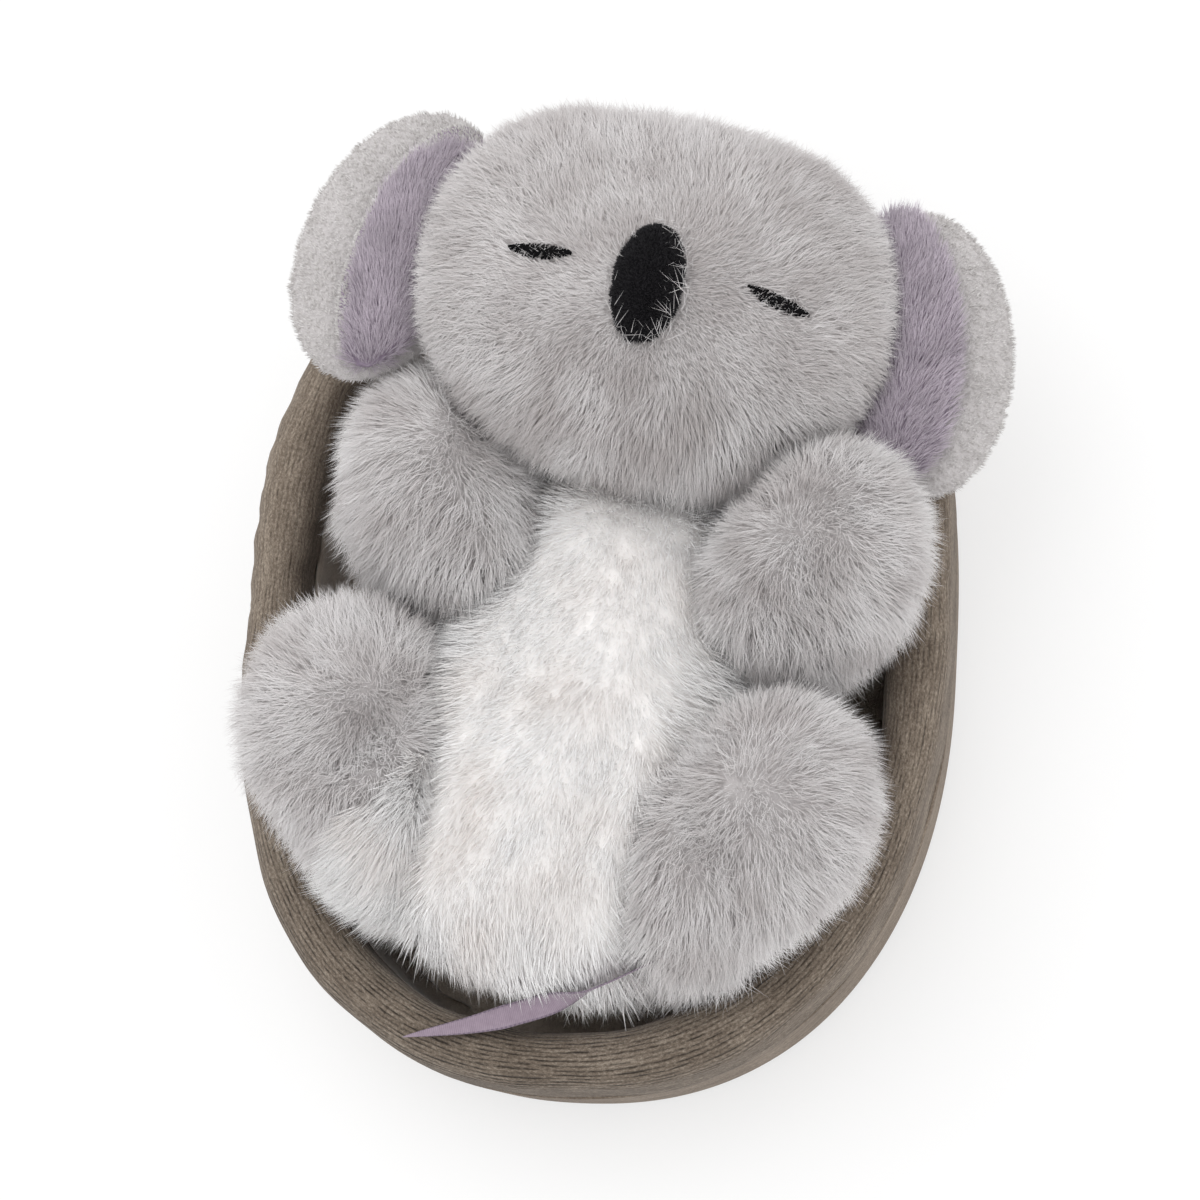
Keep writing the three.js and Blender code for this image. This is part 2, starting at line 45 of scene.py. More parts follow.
MM = 0.001
PICTURE_WIDTH = 1200

# Camera, at the photograph's angle
CAMERA_AZIMUTH = math.radians(42)
CAMERA_ELEVATION = math.radians(70)
CAMERA_LEAN = math.radians(4)
CAMERA_TARGET = Vector((7.2, -20, 60)) * MM
CAMERA_DISTANCE = 1100 * MM
CAMERA_LENS = 110
CAMERA_RISE_PIXELS = 100

# The koala's own frame in the bed, in millimetres: it lies a little askew on the mattress
KOALA_TURN = math.radians(-12)
KOALA_SHIFT = (10.5, 0, 15.4)

# The head rolls and turns a little about its middle, and lies left of the body
HEAD_ROLL = math.radians(12)
HEAD_YAW = math.radians(3)
HEAD_SHIFT = -7
HEAD_HEIGHT = 76
NOSE_ALONG = 88
EYE_ALONG = 92.5
EYE_ACROSS = {"left": -33.5, "right": 37.5}

# The bed's outline and wall, in millimetres, as the solids have them
BED_HALF_WIDTH = 110
FOOT_REACH = 137
HEAD_REACH = 137
FOOT_SQUARENESS = 2.25
HEAD_SQUARENESS = 3
BED_HEIGHT = 58
WALL = 18
COVER = 1.6
GAP = 0.3
BASE_INSET = 5
FOLD_HEIGHT = 37
LINING_HEIGHT = 40
LINING_FLOOR = 6.8
MATTRESS_TOP = 15.1
WALE_PITCH = 1.5
# The corduroy's ribs and painted light change over this much of the outline's 815, from the right side on
BED_ROUND = 774
# A layer reaches the bed's middle at this inset, and follows the outline up to half of it
MIDDLE_INSET = 120


# Modelling helpers

def make_active(obj):
    bpy.ops.object.select_all(action="DESELECT")
    obj.select_set(True)
    bpy.context.view_layer.objects.active = obj


def apply_modifier(obj, kind, **settings):
    make_active(obj)
    modifier = obj.modifiers.new(kind.lower(), kind)
    for key, value in settings.items():
        setattr(modifier, key, value)
    bpy.ops.object.modifier_apply(modifier=modifier.name)


def edit_mesh(obj, edit, **settings):
    """One edit of a whole mesh."""
    make_active(obj)
    bpy.ops.object.mode_set(mode="EDIT")
    bpy.ops.mesh.select_all(action="SELECT")
    edit(**settings)
    bpy.ops.object.mode_set(mode="OBJECT")


def linked(name, data):
    """A new object in the scene, with this data."""
    made = bpy.data.objects.new(name, data)
    bpy.context.scene.collection.objects.link(made)
    return made


def named(obj, name):
    obj.name = name
    obj.data.name = name
    return obj


def values_of(items, key, width=1, kind=float):
    """One row of values for each vertex, corner or triangle."""
    found = np.empty(len(items) * width, kind)
    items.foreach_get(key, found)
    return found.reshape(-1, width)


def set_values(items, key, values, kind=np.float32):
    items.foreach_set(key, np.asarray(values).astype(kind).ravel())


def coordinates(obj):
    return values_of(obj.data.vertices, "co", 3)


def set_coordinates(obj, places):
    set_values(obj.data.vertices, "co", places)
    obj.data.update()


def norm(vectors):
    return np.linalg.norm(vectors, axis=1)


def unit(vectors):
    return vectors / np.maximum(np.linalg.norm(vectors, axis=-1, keepdims=True), 1e-9)


def run_along(points):
    """How far along a line each of its points lies."""
    return np.concatenate([[0], np.cumsum(norm(np.diff(points, axis=0)))])


def smooth_share(values, low, high):
    share = np.clip((values - low) / (high - low), 0, 1)
    return share * share * (3 - 2 * share)


def noise_at(places, scale, offset=0.0):
    """A vector of smooth noise, about -1 to 1, at each place."""
    shift = Vector((offset, offset * 0.7, -offset))
    return np.array([noise.noise_vector(Vector(p) / scale + shift) for p in places])


def shade_smooth(obj):
    set_values(obj.data.polygons, "use_smooth", np.ones(len(obj.data.polygons)), bool)
    obj.data.update()


def paint(obj, material):
    obj.data.materials.clear()
    obj.data.materials.append(material)


def dress(obj, material, body, slot, *replaced, fill=None):
    """A finished piece has its material, rides on its body and stands for its solids. The slot, which
    would name its finish, is not used.
    Fill, how full a padded piece is, is not used."""
    paint(obj, material)
    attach(obj, body)
    if replaced:
        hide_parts(*replaced)


# Materials

class Look:
    """A material with its node tree, its shader, and short calls that add and join nodes."""

    def __init__(self, name, roughness=0.9, specular=0.25, sheen=0.0, sheen_roughness=0.5):
        self.material = bpy.data.materials.new(name)
        self.material.use_nodes = True
        self.tree = self.material.node_tree
        self.shader = self.tree.nodes["Principled BSDF"]
        self.shader.inputs["Roughness"].default_value = roughness
        self.shader.inputs["Specular IOR Level"].default_value = specular
        self.shader.inputs["Sheen Weight"].default_value = sheen
        self.shader.inputs["Sheen Roughness"].default_value = sheen_roughness

    def node(self, kind, **inputs):
        made = self.tree.nodes.new(kind)
        for key, value in inputs.items():
            self.feed(made.inputs[key.replace("_", " ")], value)
        return made

    def feed(self, socket, value):
        if isinstance(value, bpy.types.NodeSocket):
            self.tree.links.new(value, socket)
        else:
            socket.default_value = value

    def place(self):
        return self.node("ShaderNodeTexCoord").outputs["Object"]

    def map_of(self, name):
        made = self.node("ShaderNodeUVMap")
        made.uv_map = name
        return made.outputs["UV"]

    def stretched(self, vector, scale):
        return self.node("ShaderNodeMapping", Vector=vector, Scale=scale).outputs["Vector"]

    def noise(self, vector, scale, detail=3.0, roughness=0.6, distortion=0.0):
        made = self.node("ShaderNodeTexNoise", Vector=vector, Scale=scale, Detail=detail,
                         Roughness=roughness, Distortion=distortion)
        return made.outputs["Fac"]

    def math(self, operation, first, second=0.0, third=0.0):
        made = self.tree.nodes.new("ShaderNodeMath")
        made.operation = operation
        for socket, value in zip(made.inputs, (first, second, third)):
            self.feed(socket, value)
        return made.outputs["Value"]

    def times(self, first, second):
        return self.math("MULTIPLY", first, second)

    def scaled(self, value, share, shift):
        return self.math("MULTIPLY_ADD", value, share, shift)

    def sum_of(self, first, share, second, other_share):
        """Two values added, each by its share."""
        return self.scaled(first, share, self.times(second, other_share))

    def wave(self, along, pitch):
        return self.math("SINE", self.times(along, 2 * math.pi / pitch))

    def split(self, vector):
        return self.node("ShaderNodeSeparateXYZ", Vector=vector).outputs

    def ramp(self, factor, *stops):
        made = self.node("ShaderNodeValToRGB", Fac=factor)
        elements = made.color_ramp.elements
        while len(elements) < len(stops):
            elements.new(0.5)
        for element, (position, colour) in zip(elements, stops):
            element.position = position
            element.color = linear(colour) if isinstance(colour, tuple) else (colour, colour, colour, 1)
        return made.outputs["Color"]

    def mix(self, factor, first, second, blend="MIX"):
        made = self.tree.nodes.new("ShaderNodeMix")
        made.data_type = "RGBA"
        made.blend_type = blend
        self.feed(made.inputs["Factor"], factor)
        self.feed(made.inputs[6], first)
        self.feed(made.inputs[7], second)
        return made.outputs[2]

    def colour(self, value):
        self.feed(self.shader.inputs["Base Color"], value)

    def bump(self, height, strength, distance):
        made = self.node("ShaderNodeBump", Height=height, Strength=strength, Distance=distance)
        self.feed(self.shader.inputs["Normal"], made.outputs["Normal"])


def linear(colour):
    """A colour written in 0 to 255 as the shader's own values."""
    parts = [c / 255 for c in colour]
    return (*(p / 12.92 if p <= 0.04045 else ((p + 0.055) / 1.055) ** 2.4 for p in parts), 1.0)


WHITE = (255, 255, 255)


def fur_look(name, root, middle, tip, shade):
    """Hair: darker at the root, as painted shade deep in the coat, and lighter at the tip. Each hair has
    its own tone, down to the shade.
    """
    look = Look(name, roughness=0.75, specular=0.2, sheen=0.15, sheen_roughness=0.4)
    uv = look.split(look.map_of("OFBake"))
    # Painted shade: the root colour is darker than the middle, for the shade deep in the coat.
    along = look.ramp(uv["Y"], (0.0, root), (0.45, middle), (1.0, tip))
    tone = look.ramp(uv["X"], (0.0, shade), (1.0, WHITE))
    look.colour(look.mix(1.0, along, tone, "MULTIPLY"))
    return look.material


def skin_look(name, dark, light):
    """The knitted ground that the hairs grow from. Under grey and lavender fur it is painted darker than
    the hairs, as painted shade among their roots. Felt and thread have it too.
    """
    look = Look(name, roughness=0.95, specular=0.1)
    place = look.place()
    fine = look.noise(place, 900.0, detail=4.0)
    broad = look.noise(place, 75.0, detail=2.0)
    look.colour(look.ramp(look.sum_of(fine, 0.6, broad, 0.4), (0.3, dark), (0.7, light)))
    look.bump(fine, 0.6, 0.0006)
    return look.material


def wale_look(name, dark, middle, light, ribs_round, painted_light_round):
    """Corduroy: a brushed pile with fine ribs, whose grooves are thin and broken and painted dark as
    their shade. The ribs and a painted light change round the bed, as shares at the right side, head,
    left side, foot and right side again: the cloth is painted darker where its nap catches less light,
    most at the foot."""
    look = Look(name, specular=0.1, sheen=0.1)
    weave = look.map_of("Weave")

    def cloth_noise(along, across, detail, roughness=0.6, distortion=0.0):
        stretched = look.stretched(weave, (along, across, 1.0))
        return look.noise(stretched, 1.0, detail, roughness, distortion)

    place = look.split(weave)
    share = look.math("DIVIDE", place["X"], BED_ROUND * MM)
    quarters = (0.0, 0.25, 0.5, 0.75, 1.0)
    crispness = look.ramp(share, *zip(quarters, ribs_round))
    # Painted light round the bed: the cloth is darker where its nap catches less light, most at the foot.
    painted_round_light = look.ramp(share, *zip(quarters, painted_light_round))
    wander = cloth_noise(30, 120, 3)
    across = look.scaled(wander, WALE_PITCH * MM * 1.5, place["Y"])
    rib = look.math("ABSOLUTE", look.wave(across, 2 * WALE_PITCH * MM))
    thin = look.math("POWER", look.math("SUBTRACT", 1.0, rib), 1.1)
    broken = cloth_noise(110, 620, 5, 0.75)
    deep = look.math("MAXIMUM", look.scaled(broken, 7.0, -2.8), 0.15)
    groove = look.times(look.times(thin, deep), crispness)
    # The nap and brushed noises make patches and streaks of painted light and shade, where the pile lies
    # another way; the fine pile noise is the cloth's own grain.
    nap = cloth_noise(26, 60, 5, 0.62, 0.6)
    brushed = cloth_noise(70, 500, 4, 0.65)
    pile = cloth_noise(800, 1500, 2, 0.8)
    brushing = look.math("SUBTRACT", look.sum_of(nap, 0.5, brushed, 0.6), 0.6)
    tone = look.scaled(pile, 1.1, brushing)
    cloth = look.ramp(tone, (0.22, dark), (0.5, middle), (0.78, light))
    cloth = look.mix(1.0, cloth, painted_round_light, "MULTIPLY")
    # Painted shade: the grooves are mixed towards a dark brown, most where the ribs are crisp.
    look.colour(look.mix(look.math("MINIMUM", groove, 0.85), cloth, linear([0.38 * c for c in dark])))
    look.bump(look.sum_of(pile, 0.6, groove, -0.5), 0.8, 0.0005)
    return look.material


def velour_look(name, dark, middle, light, sheen=0.5):
    """A short brushed pile: patches where it lies another way, painted lighter and darker as light and
    shade on the nap, and a fine grain.
    """
    look = Look(name, specular=0.15, sheen=sheen)
    place = look.place()
    # Painted light and shade: the patches where the nap lies another way.
    patch = look.noise(place, 55.0, detail=4.0, distortion=0.4)
    grain = look.noise(place, 1500.0, roughness=0.75)
    tone = look.sum_of(patch, 0.6, grain, 0.4)
    look.colour(look.ramp(tone, (0.32, dark), (0.5, middle), (0.68, light)))
    look.bump(grain, 0.7, 0.0004)
    return look.material


def weave_look(name, dark, light, pitch):
    """A plain woven cloth: threads over and under each other."""
    look = Look(name, roughness=0.8, specular=0.3, sheen=0.2)
    place = look.place()
    warp, weft = (look.wave(look.split(place)[axis], pitch * MM) for axis in "XY")
    threads = look.scaled(look.times(warp, weft), 0.5, 0.5)
    wear = look.noise(place, 260.0)
    look.colour(look.ramp(look.sum_of(threads, 0.5, wear, 0.5), (0.2, dark), (0.8, light)))
    look.bump(threads, 0.5, 0.0003)
    return look.material


# Camera, floor and light

def aim_camera():
    a, e = CAMERA_AZIMUTH, CAMERA_ELEVATION
    back = Vector((math.sin(a) * math.cos(e), -math.cos(a) * math.cos(e), math.sin(e)))
    level = Vector((math.cos(a), math.sin(a), 0))
    upright = Vector((-math.sin(a) * math.sin(e), math.cos(a) * math.sin(e), math.cos(e)))
    roll = CAMERA_LEAN - math.atan2(math.sin(a), math.cos(a) * math.sin(e))
    right = level * math.cos(roll) + upright * math.sin(roll)
    up = upright * math.cos(roll) - level * math.sin(roll)
    bpy.ops.object.camera_add()
    camera = bpy.context.object
    camera.name = "camera"
    camera.matrix_world = Matrix.Translation(CAMERA_TARGET + back * CAMERA_DISTANCE) @ Matrix(
        (right, up, back)).transposed().to_4x4()
    camera.data.lens = CAMERA_LENS
    camera.data.sensor_width = 36
    camera.data.shift_y = CAMERA_RISE_PIXELS / PICTURE_WIDTH
    camera.data.clip_start = 0.05
    bpy.context.scene.camera = camera
    return right, up, back


# The share of the white floor that shows no shadow
FLOOR_WHITE = 0.6


def lay_floor():
    bpy.ops.mesh.primitive_plane_add(size=8, location=(0, 0, -0.0002))
    floor = named(bpy.context.object, "studio_floor")
    look = Look("white_paper", roughness=1.0, specular=0.0)
    look.colour((0.96, 0.96, 0.96, 1))
    path = look.node("ShaderNodeLightPath").outputs
    seen = look.math("MAXIMUM", path["Is Camera Ray"],
                     look.math("MAXIMUM", path["Is Glossy Ray"], path["Is Transmission Ray"]))
    white = look.node("ShaderNodeEmission", Strength=1.0).outputs["Emission"]
    mix = look.tree.nodes.new("ShaderNodeMixShader")
    look.feed(mix.inputs[0], look.times(seen, FLOOR_WHITE))
    look.feed(mix.inputs[1], look.shader.outputs["BSDF"])
    look.feed(mix.inputs[2], white)
    look.feed(look.tree.nodes["Material Output"].inputs["Surface"], mix.outputs[0])
    paint(floor, look.material)


def area_light(name, place, aim, size, power):
    bpy.ops.object.light_add(type="AREA", location=place)
    light = bpy.context.object
    light.name = name
    light.data.shape = "DISK"
    light.data.size = size
    light.data.energy = power
    direction = Vector(aim) - Vector(place)
    light.rotation_euler = direction.to_track_quat("-Z", "Y").to_euler()


def light_studio(right, up, back):
    scene = bpy.context.scene
    scene.view_settings.view_transform = "Standard"
    scene.world = bpy.data.worlds.new("studio")
    scene.world.use_nodes = True
    tree = scene.world.node_tree
    tree.nodes.clear()
    dome = tree.nodes.new("ShaderNodeBackground")
    dome.inputs["Color"].default_value = (1, 1, 1, 1)
    dome.inputs["Strength"].default_value = 1.0
    output = tree.nodes.new("ShaderNodeOutputWorld")
    tree.links.new(dome.outputs[0], output.inputs["Surface"])
    middle = CAMERA_TARGET
    area_light("key_softbox", middle + (back * 1.0 - right * 0.55 + up * 0.75), middle, 1.2, 4.5)
    area_light("fill_softbox", middle + (back * 0.8 + right * 1.0 - up * 0.1), middle, 1.2, 1.5)


# The bed

def outline_at(angles):
    across, along = np.cos(angles), np.sin(angles)
    reach = np.where(along < 0, FOOT_REACH, HEAD_REACH)
    squareness = np.where(along < 0, FOOT_SQUARENESS, HEAD_SQUARENESS)
    x = BED_HALF_WIDTH * np.sign(across) * np.abs(across) ** (2 / squareness)
    y = reach * np.sign(along) * np.abs(along) ** (2 / squareness)
    slope_x = np.sign(x) * (np.abs(x) / BED_HALF_WIDTH) ** (squareness - 1) / BED_HALF_WIDTH
    slope_y = np.sign(y) * (np.abs(y) / reach) ** (squareness - 1) / reach
    return np.stack([x, y], 1), unit(np.stack([slope_x, slope_y], 1))


def even_outline(count):
    """Places and outward directions, evenly spaced round the bed's outline, and its whole length."""
    angles = np.linspace(0, 2 * np.pi, 8001)
    places, outward = outline_at(angles)
    lengths = run_along(places)
    wanted = np.linspace(0, lengths[-1], count, endpoint=False)
    pick = [np.interp(wanted, lengths, column) for column in (*places.T, *outward.T)]
    return np.stack(pick[:2], 1), unit(np.stack(pick[2:], 1)), lengths[-1]


def even_section(points, count, closed):
    """A section of insets and heights as evenly spaced points, and how far along it each lies."""
    points = np.array(points + points[:1] if closed else points, float)
    lengths = run_along(points)
    wanted = np.linspace(0, lengths[-1], count, endpoint=not closed)
    return np.stack([np.interp(wanted, lengths, column) for column in points.T], 1), wanted


def wall_contour():
    """The outside of the wall up to the fold, and the rim's round over its top."""
    radius = WALL / 2
    centre = BED_HEIGHT - radius
    outer = [(BASE_INSET, 1.9), (BASE_INSET / 2, FOLD_HEIGHT / 3), (0, FOLD_HEIGHT)]
    turns = np.linspace(0, np.pi, 17)
    over = [(radius - radius * math.cos(t), centre + radius * math.sin(t)) for t in turns]
    return outer, over


def inside_of(points, depth):
    points = np.array(points, float)
    before = np.vstack([points[:1], points[:-1]])
    after = np.vstack([points[1:], points[-1:]])
    run = unit(after - before)
    return [tuple(p) for p in points + np.stack([run[:, 1], -run[:, 0]], 1) * depth]


def cloth_section(line, count):
    """The section of a cloth: along this line on its outside, and back on its inside."""
    return even_section(line + inside_of(line, COVER)[::-1], count, True)


def torus_piece(name, section, steps, relief=None):
    """A ring round the bed: a torus whose rings are moved to the section's insets and heights."""
    rows, lengths = section
    bpy.ops.mesh.primitive_torus_add(major_segments=steps, minor_segments=len(rows),
                                     major_radius=1, minor_radius=0.25)
    ring = named(bpy.context.object, name)
    start = coordinates(ring)
    major = np.arctan2(start[:, 1], start[:, 0]) / (2 * np.pi) % 1
    minor = np.arctan2(start[:, 2], np.hypot(start[:, 0], start[:, 1]) - 1) / (2 * np.pi) % 1
    step = np.rint(major * steps).astype(int) % steps
    row = np.rint(minor * len(rows)).astype(int) % len(rows)
    centre, outward, perimeter = even_outline(steps)
    inset, height = rows[row].T
    if relief:
        shift = relief(step / steps, lengths[row])
        before, after = np.roll(rows, 1, 0), np.roll(rows, -1, 0)
        run = unit(after - before)
        inset = inset - run[row, 1] * shift
        height = height + run[row, 0] * shift
    flat = centre[step] - outward[step] * inset[:, None]
    set_coordinates(ring, np.column_stack([flat, height]) * MM)
    map_piece(ring, step, row, steps, len(rows), perimeter, lengths)
    make_outward(ring)
    return ring


def sphere_piece(name, profile, steps):
    """A layer of the bed that reaches to its middle: a sphere whose rings are moved to a profile."""
    rows = profile[0]
    count = len(rows)
    bpy.ops.mesh.primitive_uv_sphere_add(segments=steps, ring_count=count + 1, radius=1)
    layer = named(bpy.context.object, name)
    start = coordinates(layer)
    pole = np.hypot(start[:, 0], start[:, 1]) < 1e-4
    step = np.rint(np.arctan2(start[:, 1], start[:, 0]) / (2 * np.pi) % 1 * steps).astype(int) % steps
    polar = np.arccos(np.clip(start[:, 2], -1, 1)) / np.pi * (count + 1)
    row = np.clip(np.rint(polar).astype(int) - 1, 0, count - 1)
    centre, outward, _ = even_outline(steps)
    inset, height = rows[row].T
    even = MIDDLE_INSET / 2
    flat = centre[step] - outward[step] * np.minimum(inset, even)[:, None]
    flat = flat * (1 - np.clip((inset - even) / even, 0, 1))[:, None]
    flat[pole] = 0
    set_coordinates(layer, np.column_stack([flat, height]) * MM)
    make_outward(layer)
    return layer


def make_outward(obj):
    edit_mesh(obj, bpy.ops.mesh.normals_make_consistent, inside=False)
    shade_smooth(obj)


def map_piece(ring, step, row, steps, rows, perimeter, lengths):
    """The ring's cloth map, in metres along the bed and across the band."""
    corners = values_of(ring.data.loops, "vertex_index", kind=int)
    s, r = step[corners].reshape(-1, 4), row[corners].reshape(-1, 4)
    s = np.where((s == 0) & (s.max(1, keepdims=True) == steps - 1), steps, s)
    r = np.where((r == 0) & (r.max(1, keepdims=True) == rows - 1), rows, r)
    whole = np.append(lengths, lengths[-1] + lengths[1])
    weave = ring.data.uv_layers.new(name="Weave")
    set_values(weave.data, "uv", np.stack([s / steps * perimeter * MM, whole[r] * MM], -1))


RIM_ROWS = 96
RIM_STEPS = 360


def rim_relief(share, across):
    """The stuffed rim is a little lumpy, and creased where the wall bends at the left."""
    turn = 2 * np.pi * share
    lumps = 0.55 * np.sin(5 * turn + 0.6) + 0.4 * np.sin(11 * turn + 2.1)
    lumps = lumps + 0.25 * np.sin(23 * turn + across / 9)
    creases = 0.4 * np.sin(61 * turn + across / 5) * np.exp(-((share - 0.46) / 0.06) ** 2)
    return 0.8 * lumps + creases


PAD_VOXEL = 6
PAD_PRESSURE = 4
PAD_FRAMES = 20
PAD_RISE = 6
# Only what lies above this height rises
PAD_UNDERSIDE = 10
# The swelling begins and is whole at these shares of the way from the bed's middle to its edge
PAD_BORDER = (0.5, 0.75)


def swell_pad(pad):
    """The stuffing swells the pad as cloth under pressure. It rises round the koala, whose weight
    holds it down in the middle."""
    apply_modifier(pad, "REMESH", mode="VOXEL", voxel_size=PAD_VOXEL * MM)
    before = coordinates(pad)
    make_active(pad)
    cloth = pad.modifiers.new("stuffing", "CLOTH")
    cloth.settings.use_pressure = True
    cloth.settings.uniform_pressure_force = PAD_PRESSURE
    cloth.settings.effector_weights.gravity = 0
    cloth.point_cache.frame_start = 1
    cloth.point_cache.frame_end = PAD_FRAMES
    for step in range(1, PAD_FRAMES + 1):
        bpy.context.scene.frame_set(step)
    bpy.ops.object.modifier_apply(modifier=cloth.name)
    moved = coordinates(pad) - before
    far = np.linalg.norm(moved, axis=1, keepdims=True)
    moved = moved * np.minimum(1, PAD_RISE * MM / np.maximum(far, 1e-9))
    moved[:, :2] = 0
    moved[:, 2] = np.maximum(moved[:, 2], 0) * (before[:, 2] > PAD_UNDERSIDE * MM)
    reach = np.where(before[:, 1] < 0, FOOT_REACH, HEAD_REACH) * MM
    edge = np.hypot(before[:, 0] / (BED_HALF_WIDTH * MM), before[:, 1] / reach)
    set_coordinates(pad, before + moved * smooth_share(edge, *PAD_BORDER)[:, None])
    apply_modifier(pad, "SUBSURF", levels=1, render_levels=1)
    shade_smooth(pad)


def make_bed():
    # The last row of numbers in each corduroy is painted light round the bed, darkest at the foot.
    corduroy = wale_look("corduroy", (98, 86, 75), (136, 123, 110), (178, 165, 150),
                         ribs_round=(0.5, 0.4, 0.35, 1.0, 0.5), painted_light_round=(0.8, 0.86, 0.85, 0.7, 0.8))
    smooth_cord = wale_look("corduroy_smooth", (106, 93, 81), (142, 128, 114), (178, 165, 150),
                            ribs_round=(0.3, 0.2, 0.2, 0.5, 0.3),
                            painted_light_round=(0.86, 0.86, 0.86, 0.82, 0.86))
    # The brown velour is painted lighter than the rim's cloth, painted light against the shade deep in
    # the bed.
    velour = velour_look("brown_velour", (142, 130, 119), (172, 160, 148), (198, 186, 174))
    foam = velour_look("foam", (205, 200, 188), (222, 218, 208), (235, 232, 224), sheen=0.0)
    board_look = weave_look("greyboard", (150, 128, 98), (184, 160, 126), 1.4)

    outer, over = wall_contour()
    band = [(0, FOLD_HEIGHT + GAP)] + over + [(WALL, LINING_HEIGHT + GAP)]
    rim = torus_piece("bed_rim", cloth_section(band, RIM_ROWS), RIM_STEPS, rim_relief)
    dress(rim, corduroy, "bed", "corduroy", "bed_rim_band")

    wall = torus_piece("bed_outer_wall", cloth_section(outer, 40), 240)
    dress(wall, smooth_cord, "bed", "corduroy", "bed_outer_panel")

    depth = COVER + GAP + 0.5
    section = inside_of(outer + over[1:-1], depth)
    section += [(WALL - depth, BED_HEIGHT - WALL / 2), (WALL - depth, 1.9)]
    padding = torus_piece("wall_padding", even_section(section, 24, True), 96)
    dress(padding, foam, "bed", "padding", "bed_wall_padding", fill=0.8)

    profile = [(MIDDLE_INSET, LINING_FLOOR), (WALL + 3, LINING_FLOOR), (WALL, LINING_FLOOR + 3),
               (WALL, LINING_HEIGHT), (WALL - COVER, LINING_HEIGHT), (WALL - COVER, 5.2), (WALL, 5.2),
               (MIDDLE_INSET, 5.2)]
    lining = sphere_piece("bed_inner_lining", even_section(profile, 48, False), 144)
    dress(lining, velour, "bed", "bed_lining", "bed_lining")

    profile = [(MIDDLE_INSET, COVER), (BASE_INSET, COVER), (BASE_INSET - 0.2, COVER / 2), (BASE_INSET, 0),
               (MIDDLE_INSET, 0)]
    base = sphere_piece("bed_base", even_section(profile, 24, False), 120)
    dress(base, smooth_cord, "bed", "corduroy", "bed_base_panel")

    edge = WALL + GAP
    profile = [(MIDDLE_INSET, MATTRESS_TOP), (edge + 22, MATTRESS_TOP), (edge + 4, 13.5), (edge, 11.1),
               (edge + 4, 7.1), (MIDDLE_INSET, 7.1)]
    mattress = sphere_piece("bed_mattress_pad", even_section(profile, 40, False), 120)
    swell_pad(mattress)
    dress(mattress, velour, "bed", "bed_lining", "bed_mattress", fill=0.7)

    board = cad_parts["bed_base_board"]
    paint(board, board_look)


# The koala's skins

koala_place = Matrix.Translation(Vector(KOALA_SHIFT) * MM) @ Matrix.Rotation(KOALA_TURN, 4, "Z")
head_middle = Vector((0, NOSE_ALONG, HEAD_HEIGHT)) * MM
head_turn = Matrix.Rotation(HEAD_YAW, 4, "Z") @ Matrix.Rotation(HEAD_ROLL, 4, "Y")
head_shift = Vector((HEAD_SHIFT * MM, 0, 0))
head_place = (koala_place @ Matrix.Translation(head_middle + head_shift) @ head_turn
              @ Matrix.Translation(-head_middle))


def place_of(body):
    """The frame that a body's pieces are written in: the head's for head and ears, or the koala's."""
    return head_place if body in ("koala_head", "left_ear", "right_ear") else koala_place


def to_frame(place, places):
    """Places in the bed's frame, in metres, as millimetres in another frame."""
    return (np.asarray(places) - np.array(place.translation)) @ np.array(place.to_3x3()) / MM


def from_frame(place, places):
    return np.asarray(places) * MM @ np.array(place.to_3x3()).T + np.array(place.translation)


def copy_of(name, *nodes):
    """One new mesh made of copies of these solids, with their loose corners joined."""
    copies = [linked(name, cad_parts[node].data.copy()) for node in nodes]
    make_active(copies[0])
    for copy in copies:
        copy.select_set(True)
    if len(copies) > 1:
        bpy.ops.object.join()
    joined = bpy.context.view_layer.objects.active
    edit_mesh(joined, bpy.ops.mesh.remove_doubles, threshold=0.00001)
    return named(joined, name)


def stuffed_part(name, nodes, material, body, slot, voxel, inset=0, rounds=6, fill=None, pushes=()):
    """A skin from these solids, of which it stands for the first. Each push is how far the stuffing moves
    it at each place."""
    skin = copy_of(name, *nodes)
    apply_modifier(skin, "REMESH", mode="VOXEL", voxel_size=voxel * MM)
    apply_modifier(skin, "SMOOTH", factor=0.5, iterations=rounds)
    if inset:
        apply_modifier(skin, "DISPLACE", strength=-inset * MM, mid_level=0)
    shade_smooth(skin)
    place = place_of(body)
    for push in pushes:
        places = to_frame(place, coordinates(skin))
        set_coordinates(skin, from_frame(place, places + push(places)))
    dress(skin, material, body, slot, nodes[0], fill=fill)
    return skin


CROWN_FILL = 4
SEAT_FILL = 6
SIDE_FILL = 5


def crown_corners(places):
    """The two upper corners of the head are fuller than an oval."""
    across, along = places[:, 0], places[:, 1]
    share = smooth_share(along, 100, 132) * smooth_share(np.abs(across), 12, 42)
    outward = unit(np.column_stack([across, along - NOSE_ALONG, np.zeros(len(places))]))
    return outward * (CROWN_FILL * share)[:, None]


def seat_end(places):
    """The beans sink into the end of the seat."""
    share = smooth_share(-places[:, 1], 62, 100) * smooth_share(60 - np.abs(places[:, 0]), 0, 15)
    return np.outer(share, [0, -SEAT_FILL, 0])


def belly_swell(places):
    """The belly swells up against the legs and below the chin."""
    aside, along = np.abs(places[:, 0]), places[:, 1]
    inside = smooth_share(52 - aside, 0, 12) * smooth_share(places[:, 2], 40, 60)
    beside_legs = smooth_share(aside, 16, 30) * smooth_share(-along, 5, 35)
    beside_legs = beside_legs * smooth_share(108 + along, 0, 20)
    below_chin = smooth_share(along, 0, 25)
    return np.outer(inside * (beside_legs + below_chin), [0, 0, SIDE_FILL])


# Hair and pile

